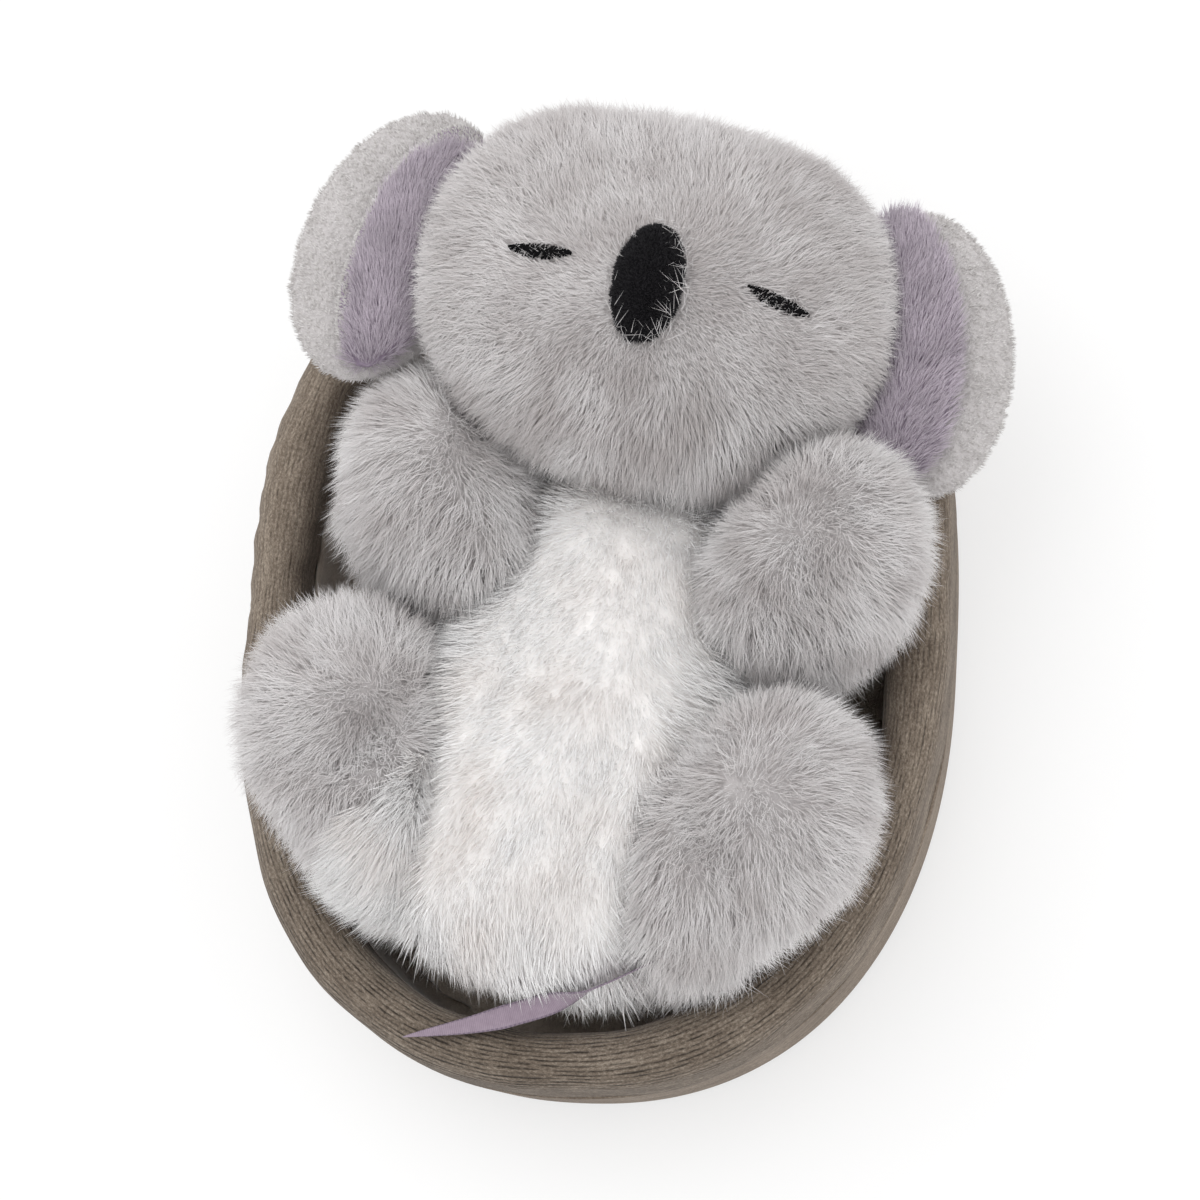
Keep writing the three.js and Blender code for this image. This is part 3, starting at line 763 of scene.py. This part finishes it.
def hair_pattern(belly):
    """One hair, three-sided, widest at its belly: places along and across it, and its faces."""
    bpy.ops.mesh.primitive_cone_add(vertices=3, radius1=1, radius2=0, depth=1, end_fill_type="TRIFAN",
                                    location=(0, 0, 0.5))
    cone = bpy.context.object
    make_active(cone)
    bpy.ops.object.transform_apply(location=True, rotation=True, scale=True)
    places = coordinates(cone)
    rim = np.hypot(places[:, 0], places[:, 1]) > 0.5
    places[rim, 2] = belly
    faces = [tuple(face.vertices) for face in cone.data.polygons]
    bpy.data.objects.remove(cone)
    return places[:, 2], places[:, :2], faces


HAIR = hair_pattern(0.42)


def scatter(skin, count, weight, generator, place):
    """Root places and skin normals, in the piece's own frame, spread over a skin by area and weight."""
    mesh = skin.data
    mesh.calc_loop_triangles()
    corners = values_of(mesh.loop_triangles, "vertices", 3, int)
    places = to_frame(place, coordinates(skin))
    facing = values_of(mesh.vertex_normals, "vector", 3) @ np.array(place.to_3x3())
    a, b, c = (places[corners[:, i]] for i in range(3))
    area = norm(np.cross(b - a, c - a)) / 2
    share = area * weight((a + b + c) / 3, unit(facing[corners].mean(1)))
    picked = generator.choice(len(corners), count, p=share / share.sum())
    first, second = generator.random((2, count))
    flip = first + second > 1
    first, second = np.where(flip, 1 - first, first), np.where(flip, 1 - second, second)
    mixture = np.stack([1 - first - second, first, second], 1)
    roots = (places[corners[picked]] * mixture[..., None]).sum(1)
    up = unit((facing[corners[picked]] * mixture[..., None]).sum(1))
    return roots, up


def along_skin(vectors, up):
    return unit(vectors - up * (vectors * up).sum(1, keepdims=True))


def clump_tips(roots, tips, spacing, pull, generator):
    """Tips drawn towards the middle hair of their own lock."""
    count = max(8, int(len(roots) / spacing))
    leaders = generator.choice(len(roots), count, replace=False)
    tree = kdtree.KDTree(count)
    for i, leader in enumerate(leaders):
        tree.insert(Vector(roots[leader]), i)
    tree.balance()
    nearest = np.array([tree.find(Vector(root))[1] for root in roots])
    lead = leaders[nearest]
    target = tips[lead] + (roots - roots[lead]) * 0.35
    amount = (pull * generator.uniform(0.4, 1.0, len(roots)))[:, None]
    return tips + (target - tips) * amount


def hair_mesh(name, place, roots, middles, tips, up, width, tone, roundness, generator):
    """All hairs of one piece as one mesh, each a copy of the pattern bent along its own curve. Hair
    scatters light, so its shading follows the coat as much as its own round side."""
    along, across, faces = HAIR
    count, size = len(roots), len(along)
    ahead = unit(tips - roots)
    side = unit(np.cross(ahead, up) + 1e-6)
    other = np.cross(ahead, side)
    turn = generator.uniform(0, 2 * np.pi, count)
    x = np.outer(np.cos(turn), across[:, 0]) - np.outer(np.sin(turn), across[:, 1])
    y = np.outer(np.sin(turn), across[:, 0]) + np.outer(np.cos(turn), across[:, 1])
    t = along[None, :, None]
    curve = roots[:, None] * (1 - t) ** 2 + middles[:, None] * 2 * t * (1 - t) + tips[:, None] * t ** 2
    outward = side[:, None] * x[..., None] + other[:, None] * y[..., None]
    places = curve + outward * (width / 2)[:, None, None]
    corners = (np.concatenate(faces) + size * np.arange(count)[:, None]).ravel()
    totals = np.tile([len(face) for face in faces], count)
    starts = np.concatenate([[0], np.cumsum(totals)[:-1]])
    mesh = bpy.data.meshes.new(name)
    mesh.vertices.add(count * size)
    mesh.loops.add(len(corners))
    mesh.polygons.add(len(totals))
    set_values(mesh.vertices, "co", from_frame(place, places.reshape(-1, 3)))
    set_values(mesh.loops, "vertex_index", corners, np.int32)
    set_values(mesh.polygons, "loop_start", starts, np.int32)
    set_values(mesh.polygons, "loop_total", totals, np.int32)
    set_values(mesh.polygons, "use_smooth", np.ones(len(totals)), bool)
    mesh.update(calc_edges=True)
    tones = np.clip(tone, 0.03, 0.97)[:, None] + across[:, 0][None] * 0.015
    heights = np.broadcast_to(np.clip(along, 0.01, 0.99), (count, size))
    pairs = np.stack([tones, heights], -1).reshape(-1, 2)[corners]
    set_values(mesh.uv_layers.new(name="OFBake").data, "uv", pairs)
    soft = unit(outward * roundness + up[:, None] * (1 - roundness)) @ np.array(place.to_3x3()).T
    set_values(mesh.attributes.new("custom_normal", "FLOAT_VECTOR", "POINT").data, "vector", soft)
    return linked(name, mesh)


HAIR_RISE = 0.35
HAIR_FALL = 0.25
ROOT_DEPTH = 0.8


def grow(names, skin, body, look, count, seed, comb, weight, width=0.22, locks=8, pull=0.14, split=None,
         wild=0.38, tones=0.2, roundness=0.6):
    """Fur of one part as one or more pieces, in their look. comb gives flow, lift, length and tone at
    each root. A hair leaves its root steeper and ends flatter than its lift."""
    place = place_of(body)
    generator = np.random.default_rng(seed)
    roots, up = scatter(skin, count, weight, generator, place)
    flow, lift, length, tone = comb(roots, up, generator)
    flow = along_skin(flow + generator.normal(0, wild, flow.shape), up)
    lift = lift + generator.normal(0, 0.12, count)
    length = length * generator.uniform(0.6, 1.15, count)
    rise, fall = lift + HAIR_RISE, lift - HAIR_FALL
    first = up * np.sin(rise)[:, None] + flow * np.cos(rise)[:, None]
    last = up * np.sin(fall)[:, None] + flow * np.cos(fall)[:, None]
    last = unit(last + generator.normal(0, 0.14, last.shape))
    middles = roots + first * (length * 0.5)[:, None]
    tips = middles + last * (length * 0.5)[:, None]
    if pull:
        tips = clump_tips(roots, tips, locks, pull, generator)
    roots = roots - up * ROOT_DEPTH
    widths = width * generator.uniform(0.75, 1.2, count)
    tone = tone + generator.normal(0, tones, count)
    groups = split(roots) if split else np.zeros(count, int)
    for group, name in enumerate(names):
        chosen = groups == group
        fur = hair_mesh(name, place, roots[chosen], middles[chosen], tips[chosen], up[chosen],
                        widths[chosen], tone[chosen], roundness, generator)
        # Blender numbers a look when the frame has a material of that name already
        dress(fur, look, body, look.name.split(".")[0])


NOSE_PLACE = np.array([0, NOSE_ALONG, HEAD_HEIGHT + 41])
EYE_PLACES = [np.array([across, EYE_ALONG]) for across in EYE_ACROSS.values()]
EYE_LEANS = [math.radians(-1.5), math.radians(-8.5)]


def nose_share(places):
    """1 on the edge of the nose pad, less inside it."""
    return np.hypot(places[:, 0] / 10.5, (places[:, 1] - NOSE_ALONG) / 17.5)


def eye_share(places):
    """1 on the edge of the nearer eye's slit, less inside it."""
    shares = []
    for (x, y), lean in zip(EYE_PLACES, EYE_LEANS):
        aside, along = places[:, 0] - x, places[:, 1] - y
        ahead = aside * math.cos(lean) + along * math.sin(lean)
        over = along * math.cos(lean) - aside * math.sin(lean)
        shares.append(np.hypot(ahead / 9.5, over / 1.9))
    return np.minimum(*shares)


def head_comb(roots, up, generator):
    away = roots - NOSE_PLACE
    distance = norm(away)
    flow = unit(away) + noise_at(roots, 26, 3) * 0.7 + noise_at(roots, 7, 5) * 0.5
    chin = smooth_share(-(roots[:, 1] - 74), 0, 25)
    flow = flow + np.array([0, -0.7, -0.1]) * chin[:, None]
    rim = smooth_share(distance, 45, 80)
    lift = 0.78 - 0.22 * rim + 0.25 * noise_at(roots, 11, 8)[:, 0]
    chin_reach = 4.5 + 4.5 * smooth_share(roots[:, 0], -5, 25)
    length = 4.6 + 3.2 * smooth_share(distance, 14, 60) + 1.4 * rim + chin_reach * chin
    tone = 0.5 + (0.5 + 0.6 * chin) * noise_at(roots, 14, 9)[:, 0]
    return flow, lift, length, tone


def head_weight(places, up):
    front = 0.15 + 0.85 * smooth_share(up[:, 2], -0.5, 0.1)
    near = 1 + 0.4 * smooth_share(40 - norm(places - NOSE_PLACE), 0, 15)
    bare = (nose_share(places) > 0.92) & (eye_share(places) > 1)
    return front * near * bare


def torso_comb(roots, up, generator):
    """Hair lies towards the seat, hangs at its end, and leans over the legs at the sides."""
    low = smooth_share(-roots[:, 1], 82, 108)
    side = smooth_share(np.abs(roots[:, 0]), 22, 38)
    top = smooth_share(roots[:, 1], 12, 36)
    flow = np.stack([(0.6 + 1.3 * side) * roots[:, 0] / 54, -np.ones(len(roots)), -0.15 - 0.7 * low], 1)
    flow = flow + noise_at(roots, 28, 5) * 0.8 + noise_at(roots, 9, 2) * 0.35
    lift = 0.55 - 0.4 * low + 0.15 * side + 0.4 * top + 0.1 * noise_at(roots, 12, 4)[:, 0]
    length = 7 + 8 * low + 7 * side * (1 - 0.6 * low) + 5 * top
    tone = 0.75 + 0.8 * noise_at(roots, 17, 1)[:, 0]
    return flow, lift, length, tone


def whorl_comb(crown, sway, reach, offset):
    """Hair that stands up at a soft crown, leans the way of the sway and is laid over at the edges."""
    crown = np.array(crown, float)

    def comb(roots, up, generator):
        moved = roots + noise_at(roots, 24, offset) * 14
        away = along_skin(moved - crown, up)
        far = smooth_share(norm(roots - crown), reach * 0.1, reach)
        flow = away * (0.3 + 0.7 * far)[:, None] + np.array(sway)
        flow = flow + noise_at(roots, 14, offset + 3) * 0.8 + noise_at(roots, 5, offset + 2) * 0.55
        lift = 1.0 - 0.4 * far + 0.3 * noise_at(roots, 9, offset + 1)[:, 0]
        low = smooth_share(crown[1] - roots[:, 1], 25, 50)
        length = 8.5 + 4 * far + 4 * low
        tone = 0.65 + 0.7 * noise_at(roots, 11, offset + 4)[:, 1]
        return flow, lift, length, tone

    return comb


PAW_CROWNS = {"left": (-50, 54, 98), "right": (50, 38, 98)}
FOOT_CROWNS = {"left": (-50, -48, 104), "right": (58, -42, 104)}


def upper_weight(low_share):
    def weight(places, up):
        return low_share + (1 - low_share) * smooth_share(up[:, 2], -0.6, 0.0)

    return weight


def on_white_side(places):
    """The white fur reaches over the low inner side of the left foot."""
    edge = np.interp(places[:, 1], [-97, -80, -63, -36, -15], [-58, -52, -40, -34, -36])
    edge = edge + noise_at(places, 7, 6)[:, 0] * 2
    return (places[:, 0] < 0) & (places[:, 1] < -14) & (places[:, 0] > edge)


def leg_weight(places, up):
    return upper_weight(0.15)(places, up) * ~on_white_side(places)


def white_leg_weight(places, up):
    return upper_weight(0.15)(places, up) * on_white_side(places)


SIDES = (("left", -1), ("right", 1))


def make_koala():
    # Painted shade: the grey and lavender knit is darker than its fur, standing in for the shade among
    # the hair roots.
    grey_skin = skin_look("grey_knit", (186, 182, 182), (206, 202, 202))
    white_skin = skin_look("white_knit", (250, 247, 245), (255, 253, 252))
    lavender_skin = skin_look("lavender_knit", (146, 132, 150), (172, 158, 176))
    black_skin = skin_look("black_felt", (12, 11, 13), (26, 25, 28))
    thread = skin_look("black_thread", (6, 6, 7), (20, 19, 21))
    grey_fur = fur_look("grey_fur", (190, 182, 180), (232, 229, 229), (249, 247, 247), (218, 214, 213))
    white_fur = fur_look("white_fur", (252, 248, 246), (254, 253, 253), WHITE, (247, 242, 239))
    lavender_fur = fur_look("lavender_fur", (154, 140, 155), (199, 187, 200), (229, 219, 229),
                            (214, 214, 214))
    ear_pile = fur_look("ear_pile", (196, 191, 189), (228, 225, 224), (247, 245, 244), (205, 202, 200))
    # The black pile's lighter tips and the mottled tone from nose_comb are painted sheen.
    black_pile = fur_look("black_pile", (10, 9, 11), (22, 21, 24), (46, 44, 48), (204, 204, 204))

    head = stuffed_part("head_skin", ["head"], grey_skin, "koala_head", "grey_fur", 3, 2.5, fill=0.8,
                        pushes=[crown_corners])
    grow(["head_fur_left", "head_fur_middle", "head_fur_right"], head, "koala_head", grey_fur, 70000, 11,
         head_comb, head_weight, split=lambda roots: np.digitize(roots[:, 0], [-24, 24]))

    torso = stuffed_part("torso_skin", ["torso", "belly_panel", "back_panel", "bean_pouch"], grey_skin,
                         "koala_torso", "grey_fur", 3, 2.5, fill=0.8, pushes=[seat_end, belly_swell])
    grow(["belly_fur_upper", "belly_fur_lower"], torso, "koala_torso", white_fur, 42000, 21, torso_comb,
         belly_weight, width=0.28, wild=0.16, tones=0.15, roundness=0.9,
         split=lambda roots: (roots[:, 1] < -35).astype(int))
    grow(["torso_fur"], torso, "koala_torso", grey_fur, 13000, 22, torso_comb, side_weight, wild=0.2)
    dress(belly_cloth(torso), white_skin, "koala_torso", "white_fur", "belly_panel")
    make_hidden_parts(grey_skin)
    make_nose(black_pile, black_skin)
    make_eyes(head, thread)
    make_strays(head, grey_fur)
    make_ribbon(ribbon_material())
    make_ears(ear_pile, lavender_fur, grey_skin, lavender_skin)
    make_limbs(grey_fur, white_fur, grey_skin)


def make_limbs(grey_fur, white_fur, grey_skin):
    def limb(name, side, inset, rounds, hairs, seed, comb, weight):
        body = f"{side}_{name}"
        skin = stuffed_part(f"{name}_skin_{side}", [f"{name}_{side}"], grey_skin, body, "grey_fur", 2.5,
                            inset, rounds, fill=0.8)
        grow([f"{name}_fur_{side}"], skin, body, grey_fur, hairs, seed, comb, weight, roundness=0.5)
        return skin

    legs = {}
    for side, sign in SIDES:
        seed = 30 + sign
        comb = whorl_comb(PAW_CROWNS[side], (0.2 * sign, -0.25, 0), 45, seed)
        limb("arm", side, 1.5, 6, 23500, seed + 4, comb, upper_weight(0.15))
        comb = whorl_comb(FOOT_CROWNS[side], (0.15 * sign, -0.25, 0), 50, seed + 7)
        legs[side] = limb("leg", side, 0.6, 24, 24000, seed + 8, comb, leg_weight)
    grow(["leg_white_fur_left"], legs["left"], "left_leg", white_fur, 10000, 47, torso_comb,
         white_leg_weight, width=0.3, wild=0.16, tones=0.15, roundness=0.7)


BELLY_SQUARENESS = 2.7
BELLY_MIDDLE = -32
BELLY_REACH = 88
BELLY_LOW_EDGE = 46


def belly_share(places):
    """1 on the seam round the white belly, less inside it. The belly is wider towards the seat."""
    seam_waver = noise_at(places, 9, 2)[:, 0] * 0.05
    across = np.abs(places[:, 0]) / (50 + 10 * smooth_share(-places[:, 1], 20, 90))
    along = np.abs(places[:, 1] - BELLY_MIDDLE) / BELLY_REACH
    return (across ** BELLY_SQUARENESS + along ** BELLY_SQUARENESS) ** (1 / BELLY_SQUARENESS) + seam_waver


def belly_weight(places, up):
    return (belly_share(places) < 1) * smooth_share(up[:, 2], -0.2, 0.05)


def side_weight(places, up):
    white = (belly_share(places) < 1) & (up[:, 2] > 0)
    return ~white * upper_weight(0.15)(places, up)


def belly_cloth(torso):
    """The white panel: the torso's skin inside the seam, copied and given a thickness."""
    belly = named(linked("belly_cloth", torso.data.copy()), "belly_cloth")
    make_active(belly)
    places = to_frame(koala_place, coordinates(belly))
    inside = (belly_share(places) < 1) & (places[:, 2] > BELLY_LOW_EDGE)
    bpy.ops.object.mode_set(mode="EDIT")
    bpy.ops.mesh.select_all(action="DESELECT")
    bpy.ops.object.mode_set(mode="OBJECT")
    belly.data.vertices.foreach_set("select", ~inside)
    bpy.ops.object.mode_set(mode="EDIT")
    bpy.ops.mesh.delete(type="VERT")
    bpy.ops.object.mode_set(mode="OBJECT")
    apply_modifier(belly, "SMOOTH", factor=0.5, iterations=4)
    apply_modifier(belly, "SOLIDIFY", thickness=0.5 * MM, offset=1)
    shade_smooth(belly)
    return belly


def ear_comb(sign):
    def comb(roots, up, generator):
        flow = np.array([sign, 0.35, 0.0]) + noise_at(roots, 7, 6) * 0.6
        length = 1.9 + 0.5 * noise_at(roots, 5, 3)[:, 0]
        tone = 0.6 + 0.6 * noise_at(roots, 1.3, 8)[:, 0] + 0.15 * noise_at(roots, 12, 2)[:, 1]
        return flow, 0.9, length, tone

    return comb


def lining_comb(sign):
    def comb(roots, up, generator):
        fan = roots - np.array([sign * 76.0, 44.0, 74.0])
        fan[:, 0] = fan[:, 0] * 2.2
        flow = unit(fan) + noise_at(roots, 12, 3) * 0.4 + noise_at(roots, 4, 5) * 0.3
        lift = 0.62 + 0.25 * noise_at(roots, 12, 7)[:, 0]
        tone = 0.5 + 0.45 * noise_at(roots, 9, 8)[:, 0]
        return flow, lift, 6.5, tone

    return comb


# The edge of the lavender fur on the left ear, in the head's frame: how far aside at places up the head
LINING_EDGE_ALONG = [57, 76, 93, 109, 122, 130, 131]
LINING_EDGE_ACROSS = [-86, -88, -88.6, -87, -81, -72, 0]


def on_lining(places):
    """On the left ear the grey pile reaches over the outer edge of the lining."""
    edge = np.interp(places[:, 1], LINING_EDGE_ALONG, LINING_EDGE_ACROSS) + noise_at(places, 6, 4)[:, 0]
    return (places[:, 0] > 0) | (places[:, 0] > edge)


def lavender_weight(places, up):
    return smooth_share(up[:, 2], -0.1, 0.1) * on_lining(places)


def pile_over_lining_weight(places, up):
    return smooth_share(up[:, 2], -0.1, 0.1) * ~on_lining(places)


def make_ears(ear_pile, lavender_fur, pile_skin, lavender_skin):
    for side, sign in SIDES:
        body = f"{side}_ear"
        ear = stuffed_part(f"ear_skin_{side}", [f"ear_{side}"], pile_skin, body, "ear_pile", 1.8, 0.8,
                           rounds=8, fill=0.5)
        grow([f"ear_pile_{side}"], ear, body, ear_pile, 15000, 60 + sign, ear_comb(sign),
             upper_weight(0.5), width=0.26, pull=0.4)
        lining = stuffed_part(f"ear_lining_skin_{side}", [f"ear_lining_{side}"], lavender_skin, body,
                              "lavender_fur", 0.9, 0.3, rounds=10)
        grow([f"ear_lining_fur_{side}"], lining, body, lavender_fur, 10000, 70 + sign, lining_comb(sign),
             lavender_weight, locks=9, pull=0.3, wild=0.2)
        if side == "left":
            grow(["ear_edge_pile_left"], lining, body, ear_pile, 3200, 74, ear_comb(sign),
                 pile_over_lining_weight, width=0.26, pull=0.4)


NOSE_GROWTH = 0.9


def nose_comb(roots, up, generator):
    # The mottled tone is painted sheen on the black pile.
    return generator.normal(0, 1, roots.shape), 0.9, 1.3, 0.4 + 0.6 * noise_at(roots, 1.6, 5)[:, 0]


def nose_weight(places, up):
    return smooth_share(up[:, 2], -0.3, 0.0)


def make_nose(black_pile, black_skin):
    nose = stuffed_part("nose_pad", ["nose"], black_skin, "koala_head", "black_pile", 0.8, -NOSE_GROWTH)
    grow(["nose_pile"], nose, "koala_head", black_pile, 5500, 81, nose_comb, nose_weight, width=0.36,
         locks=7, pull=0.5)


def height_over(skin, places):
    """The height of a skin over places in the head's frame, by rays from above."""
    found = []
    turn = head_place.to_3x3()
    for x, y in places:
        start = head_place @ (Vector((x, y, 200)) * MM)
        hit, place = skin.ray_cast(start, turn @ Vector((0, 0, -1)))[:2]
        found.append((head_place.inverted() @ place).z / MM if hit else HEAD_HEIGHT)
    return np.array(found)


THREADS_PER_EYE = 40
THREAD_POINTS = 7


def make_eyes(head, thread):
    """Closed eyes in satin stitch: short black threads side by side across a narrow slit."""
    generator = np.random.default_rng(95)
    along_thread = np.linspace(-1, 1, THREAD_POINTS)
    for side, (x, y), lean in zip(EYE_ACROSS, EYE_PLACES, EYE_LEANS):
        ahead = np.array([math.cos(lean), math.sin(lean)])
        across = np.array([-math.sin(lean), math.cos(lean)])
        strands = []
        for i in range(THREADS_PER_EYE):
            share = (i + 0.5) / THREADS_PER_EYE * 2 - 1
            reach = 2.1 * (1 - share * share) ** 0.75 * generator.uniform(0.85, 1.15) + 0.05
            low = -reach * 0.25 * (1 - share * share)
            middle = np.array([x, y]) + ahead * share * 9.6 + across * low
            slant = across + ahead * (0.3 + generator.normal(0, 0.18))
            line = [middle + slant * reach * t for t in along_thread]
            rise = height_over(head, line) + 1.2 * np.cos(along_thread * 1.45) + 2.2
            strands.append(np.column_stack([line, rise]))
        eye = thread_piece(f"eye_stitches_{side}", strands, 0.3)
        dress(eye, thread, "koala_head", "black_thread", f"eye_{side}")


def thread_piece(name, lines, radius):
    """Threads as one mesh: curves with a round section, made into a mesh."""
    curve = bpy.data.curves.new(name, "CURVE")
    curve.dimensions = "3D"
    curve.bevel_depth = radius * MM
    curve.bevel_resolution = 1
    curve.use_fill_caps = True
    for line in lines:
        spline = curve.splines.new("POLY")
        spline.points.add(len(line) - 1)
        for point, place in zip(spline.points, from_frame(head_place, line)):
            point.co = (*place, 1)
    make_active(linked(name, curve))
    bpy.ops.object.convert(target="MESH")
    piece = bpy.context.object
    shade_smooth(piece)
    return named(piece, name)


def make_strays(head, grey_fur):
    """Single long hairs that lie over the nose pad and the eyes."""
    def nose_comb_in(roots, up, generator):
        return unit(NOSE_PLACE - roots + generator.normal(0, 5, roots.shape)), 0.9, 15.5, 0.9

    def nose_ring(places, up):
        share = nose_share(places)
        ring = (share > 0.95) & (share < 1.15) & (up[:, 2] > 0.2)
        return ring * (1.2 + unit(places - NOSE_PLACE)[:, 0])

    def eye_comb_in(roots, up, generator):
        flow = np.array([-0.35, -1.0, 0.0]) + generator.normal(0, 0.45, roots.shape)
        return unit(flow), 0.85, 6.0, 0.9

    def eye_ring(places, up):
        near = np.minimum(*[np.hypot((places[:, 0] - x) / 9, (places[:, 1] - y - 2.4) / 1.6)
                            for x, y in EYE_PLACES])
        return (near < 1) * (up[:, 2] > 0.2)

    strays = (("nose", 150, 91, nose_comb_in, nose_ring, 0.17),
              ("eye", 130, 92, eye_comb_in, eye_ring, 0.2))
    for name, count, seed, comb, ring, width in strays:
        grow([f"{name}_stray_hairs"], head, "koala_head", grey_fur, count, seed, comb, ring,
             width=width, pull=0)


RIBBON_WIDTH = 10
RIBBON_THICKNESS = 0.45
RIBBON_ROUTE = [(46, -91, 55), (39.3, -96.7, 56), (27.4, -105.3, 54), (12.3, -113.4, 48.6),
                (-7.2, -123.3, 45.4), (-29, -132.8, 45)]
RIBBON_ROWS = 72
RIBBON_TURN = math.radians(106)
RIBBON_STEPS = 400


def catmull(points, shares):
    """Places on a smooth curve through points, at shares of its length from 0 to 1."""
    points = np.array(points, float)
    padded_points = np.vstack([2 * points[0] - points[1], points, 2 * points[-1] - points[-2]])
    spans = len(points) - 1
    at = np.clip(shares, 0, 1) * spans
    span = np.minimum(at.astype(int), spans - 1)
    t = (at - span)[:, None]
    a, b, c, d = (padded_points[span + i] for i in range(4))
    bend = (2 * a - 5 * b + 4 * c - d) * t ** 2 + (3 * b - a - 3 * c + d) * t ** 3
    return 0.5 * (2 * b + (c - a) * t + bend)


def ribbon_half_width(share):
    taper = (1 - 0.3 * smooth_share(share, 0, 0.5)) * np.minimum(1, (1 - share) / 0.26) ** 0.8
    return np.maximum(0.12, RIBBON_WIDTH / 2 * taper)


def make_ribbon(ribbon_look):
    """A flat strip that leaves the seat on edge, turns flat over the rim and ends in a point."""
    bpy.ops.mesh.primitive_grid_add(x_subdivisions=6, y_subdivisions=RIBBON_ROWS, size=2)
    ribbon = named(bpy.context.object, "seat_ribbon")
    start = coordinates(ribbon)
    share = (start[:, 1] + 1) / 2
    centre = catmull(RIBBON_ROUTE, share)
    ahead = unit(catmull(RIBBON_ROUTE, share + 0.01) - catmull(RIBBON_ROUTE, share - 0.01))
    level = unit(np.cross(ahead, [0, 0, 1]))
    over = np.cross(level, ahead)
    turn = RIBBON_TURN * (1 - smooth_share(share, 0.42, 0.7))
    aside = level * np.cos(turn)[:, None] + over * np.sin(turn)[:, None]
    half = ribbon_half_width(share)
    curl = 0.5 * np.sin(share * 9) * start[:, 0]
    places = centre + aside * (start[:, 0] * half)[:, None] + np.array([0, 0, 1]) * curl[:, None] * 0.4
    shares = np.linspace(0, 1, RIBBON_STEPS)
    length = run_along(catmull(RIBBON_ROUTE, shares))[-1]
    set_coordinates(ribbon, from_frame(koala_place, places))
    weave = ribbon.data.uv_layers.new(name="Weave")
    corners = values_of(ribbon.data.loops, "vertex_index", kind=int)
    set_values(weave.data, "uv", np.column_stack([start[:, 0], share * length])[corners])
    apply_modifier(ribbon, "SOLIDIFY", thickness=RIBBON_THICKNESS * MM, offset=0)
    make_outward(ribbon)
    dress(ribbon, ribbon_look, "koala_torso", "ribbon", "ribbon")


def ribbon_material():
    """Satin ribbon: fine cross threads, and a darker overlocked edge on both sides."""
    look = Look("lavender_ribbon", roughness=0.6, specular=0.35, sheen=0.25)
    place = look.split(look.map_of("Weave"))
    across, along = place["X"], place["Y"]
    threads = look.math("ABSOLUTE", look.wave(along, 0.9))
    edge = look.math("GREATER_THAN", look.math("ABSOLUTE", across), 0.84)
    stitches = look.math("GREATER_THAN", look.wave(along, 1.1), -0.1)
    wear = look.noise(look.place(), 420.0, detail=4.0)
    tone = look.sum_of(threads, 0.3, wear, 0.7)
    cloth = look.ramp(tone, (0.25, (130, 114, 128)), (0.8, (160, 144, 158)))
    stitched = look.times(edge, look.scaled(stitches, 0.5, 0.25))
    look.colour(look.mix(stitched, cloth, linear((104, 90, 108))))
    look.bump(look.math("ADD", threads, look.times(edge, stitches)), 0.4, 0.0002)
    return look.material


def make_hidden_parts(grey_skin):
    """The pouch of beans inside the seat and the panel that closes the back."""
    pouch_cloth = weave_look("pouch_cloth", (196, 188, 170), (224, 218, 204), 1.2)
    stuffed_part("bean_pouch_bag", ["bean_pouch"], pouch_cloth, "koala_torso", "pouch_cloth", 2, 0.3,
                 rounds=4, fill=0.5)
    stuffed_part("back_panel_cloth", ["back_panel"], grey_skin, "koala_torso", "grey_fur", 0.7, rounds=4)


right, up, back = aim_camera()
lay_floor()
light_studio(right, up, back)
make_bed()
make_koala()
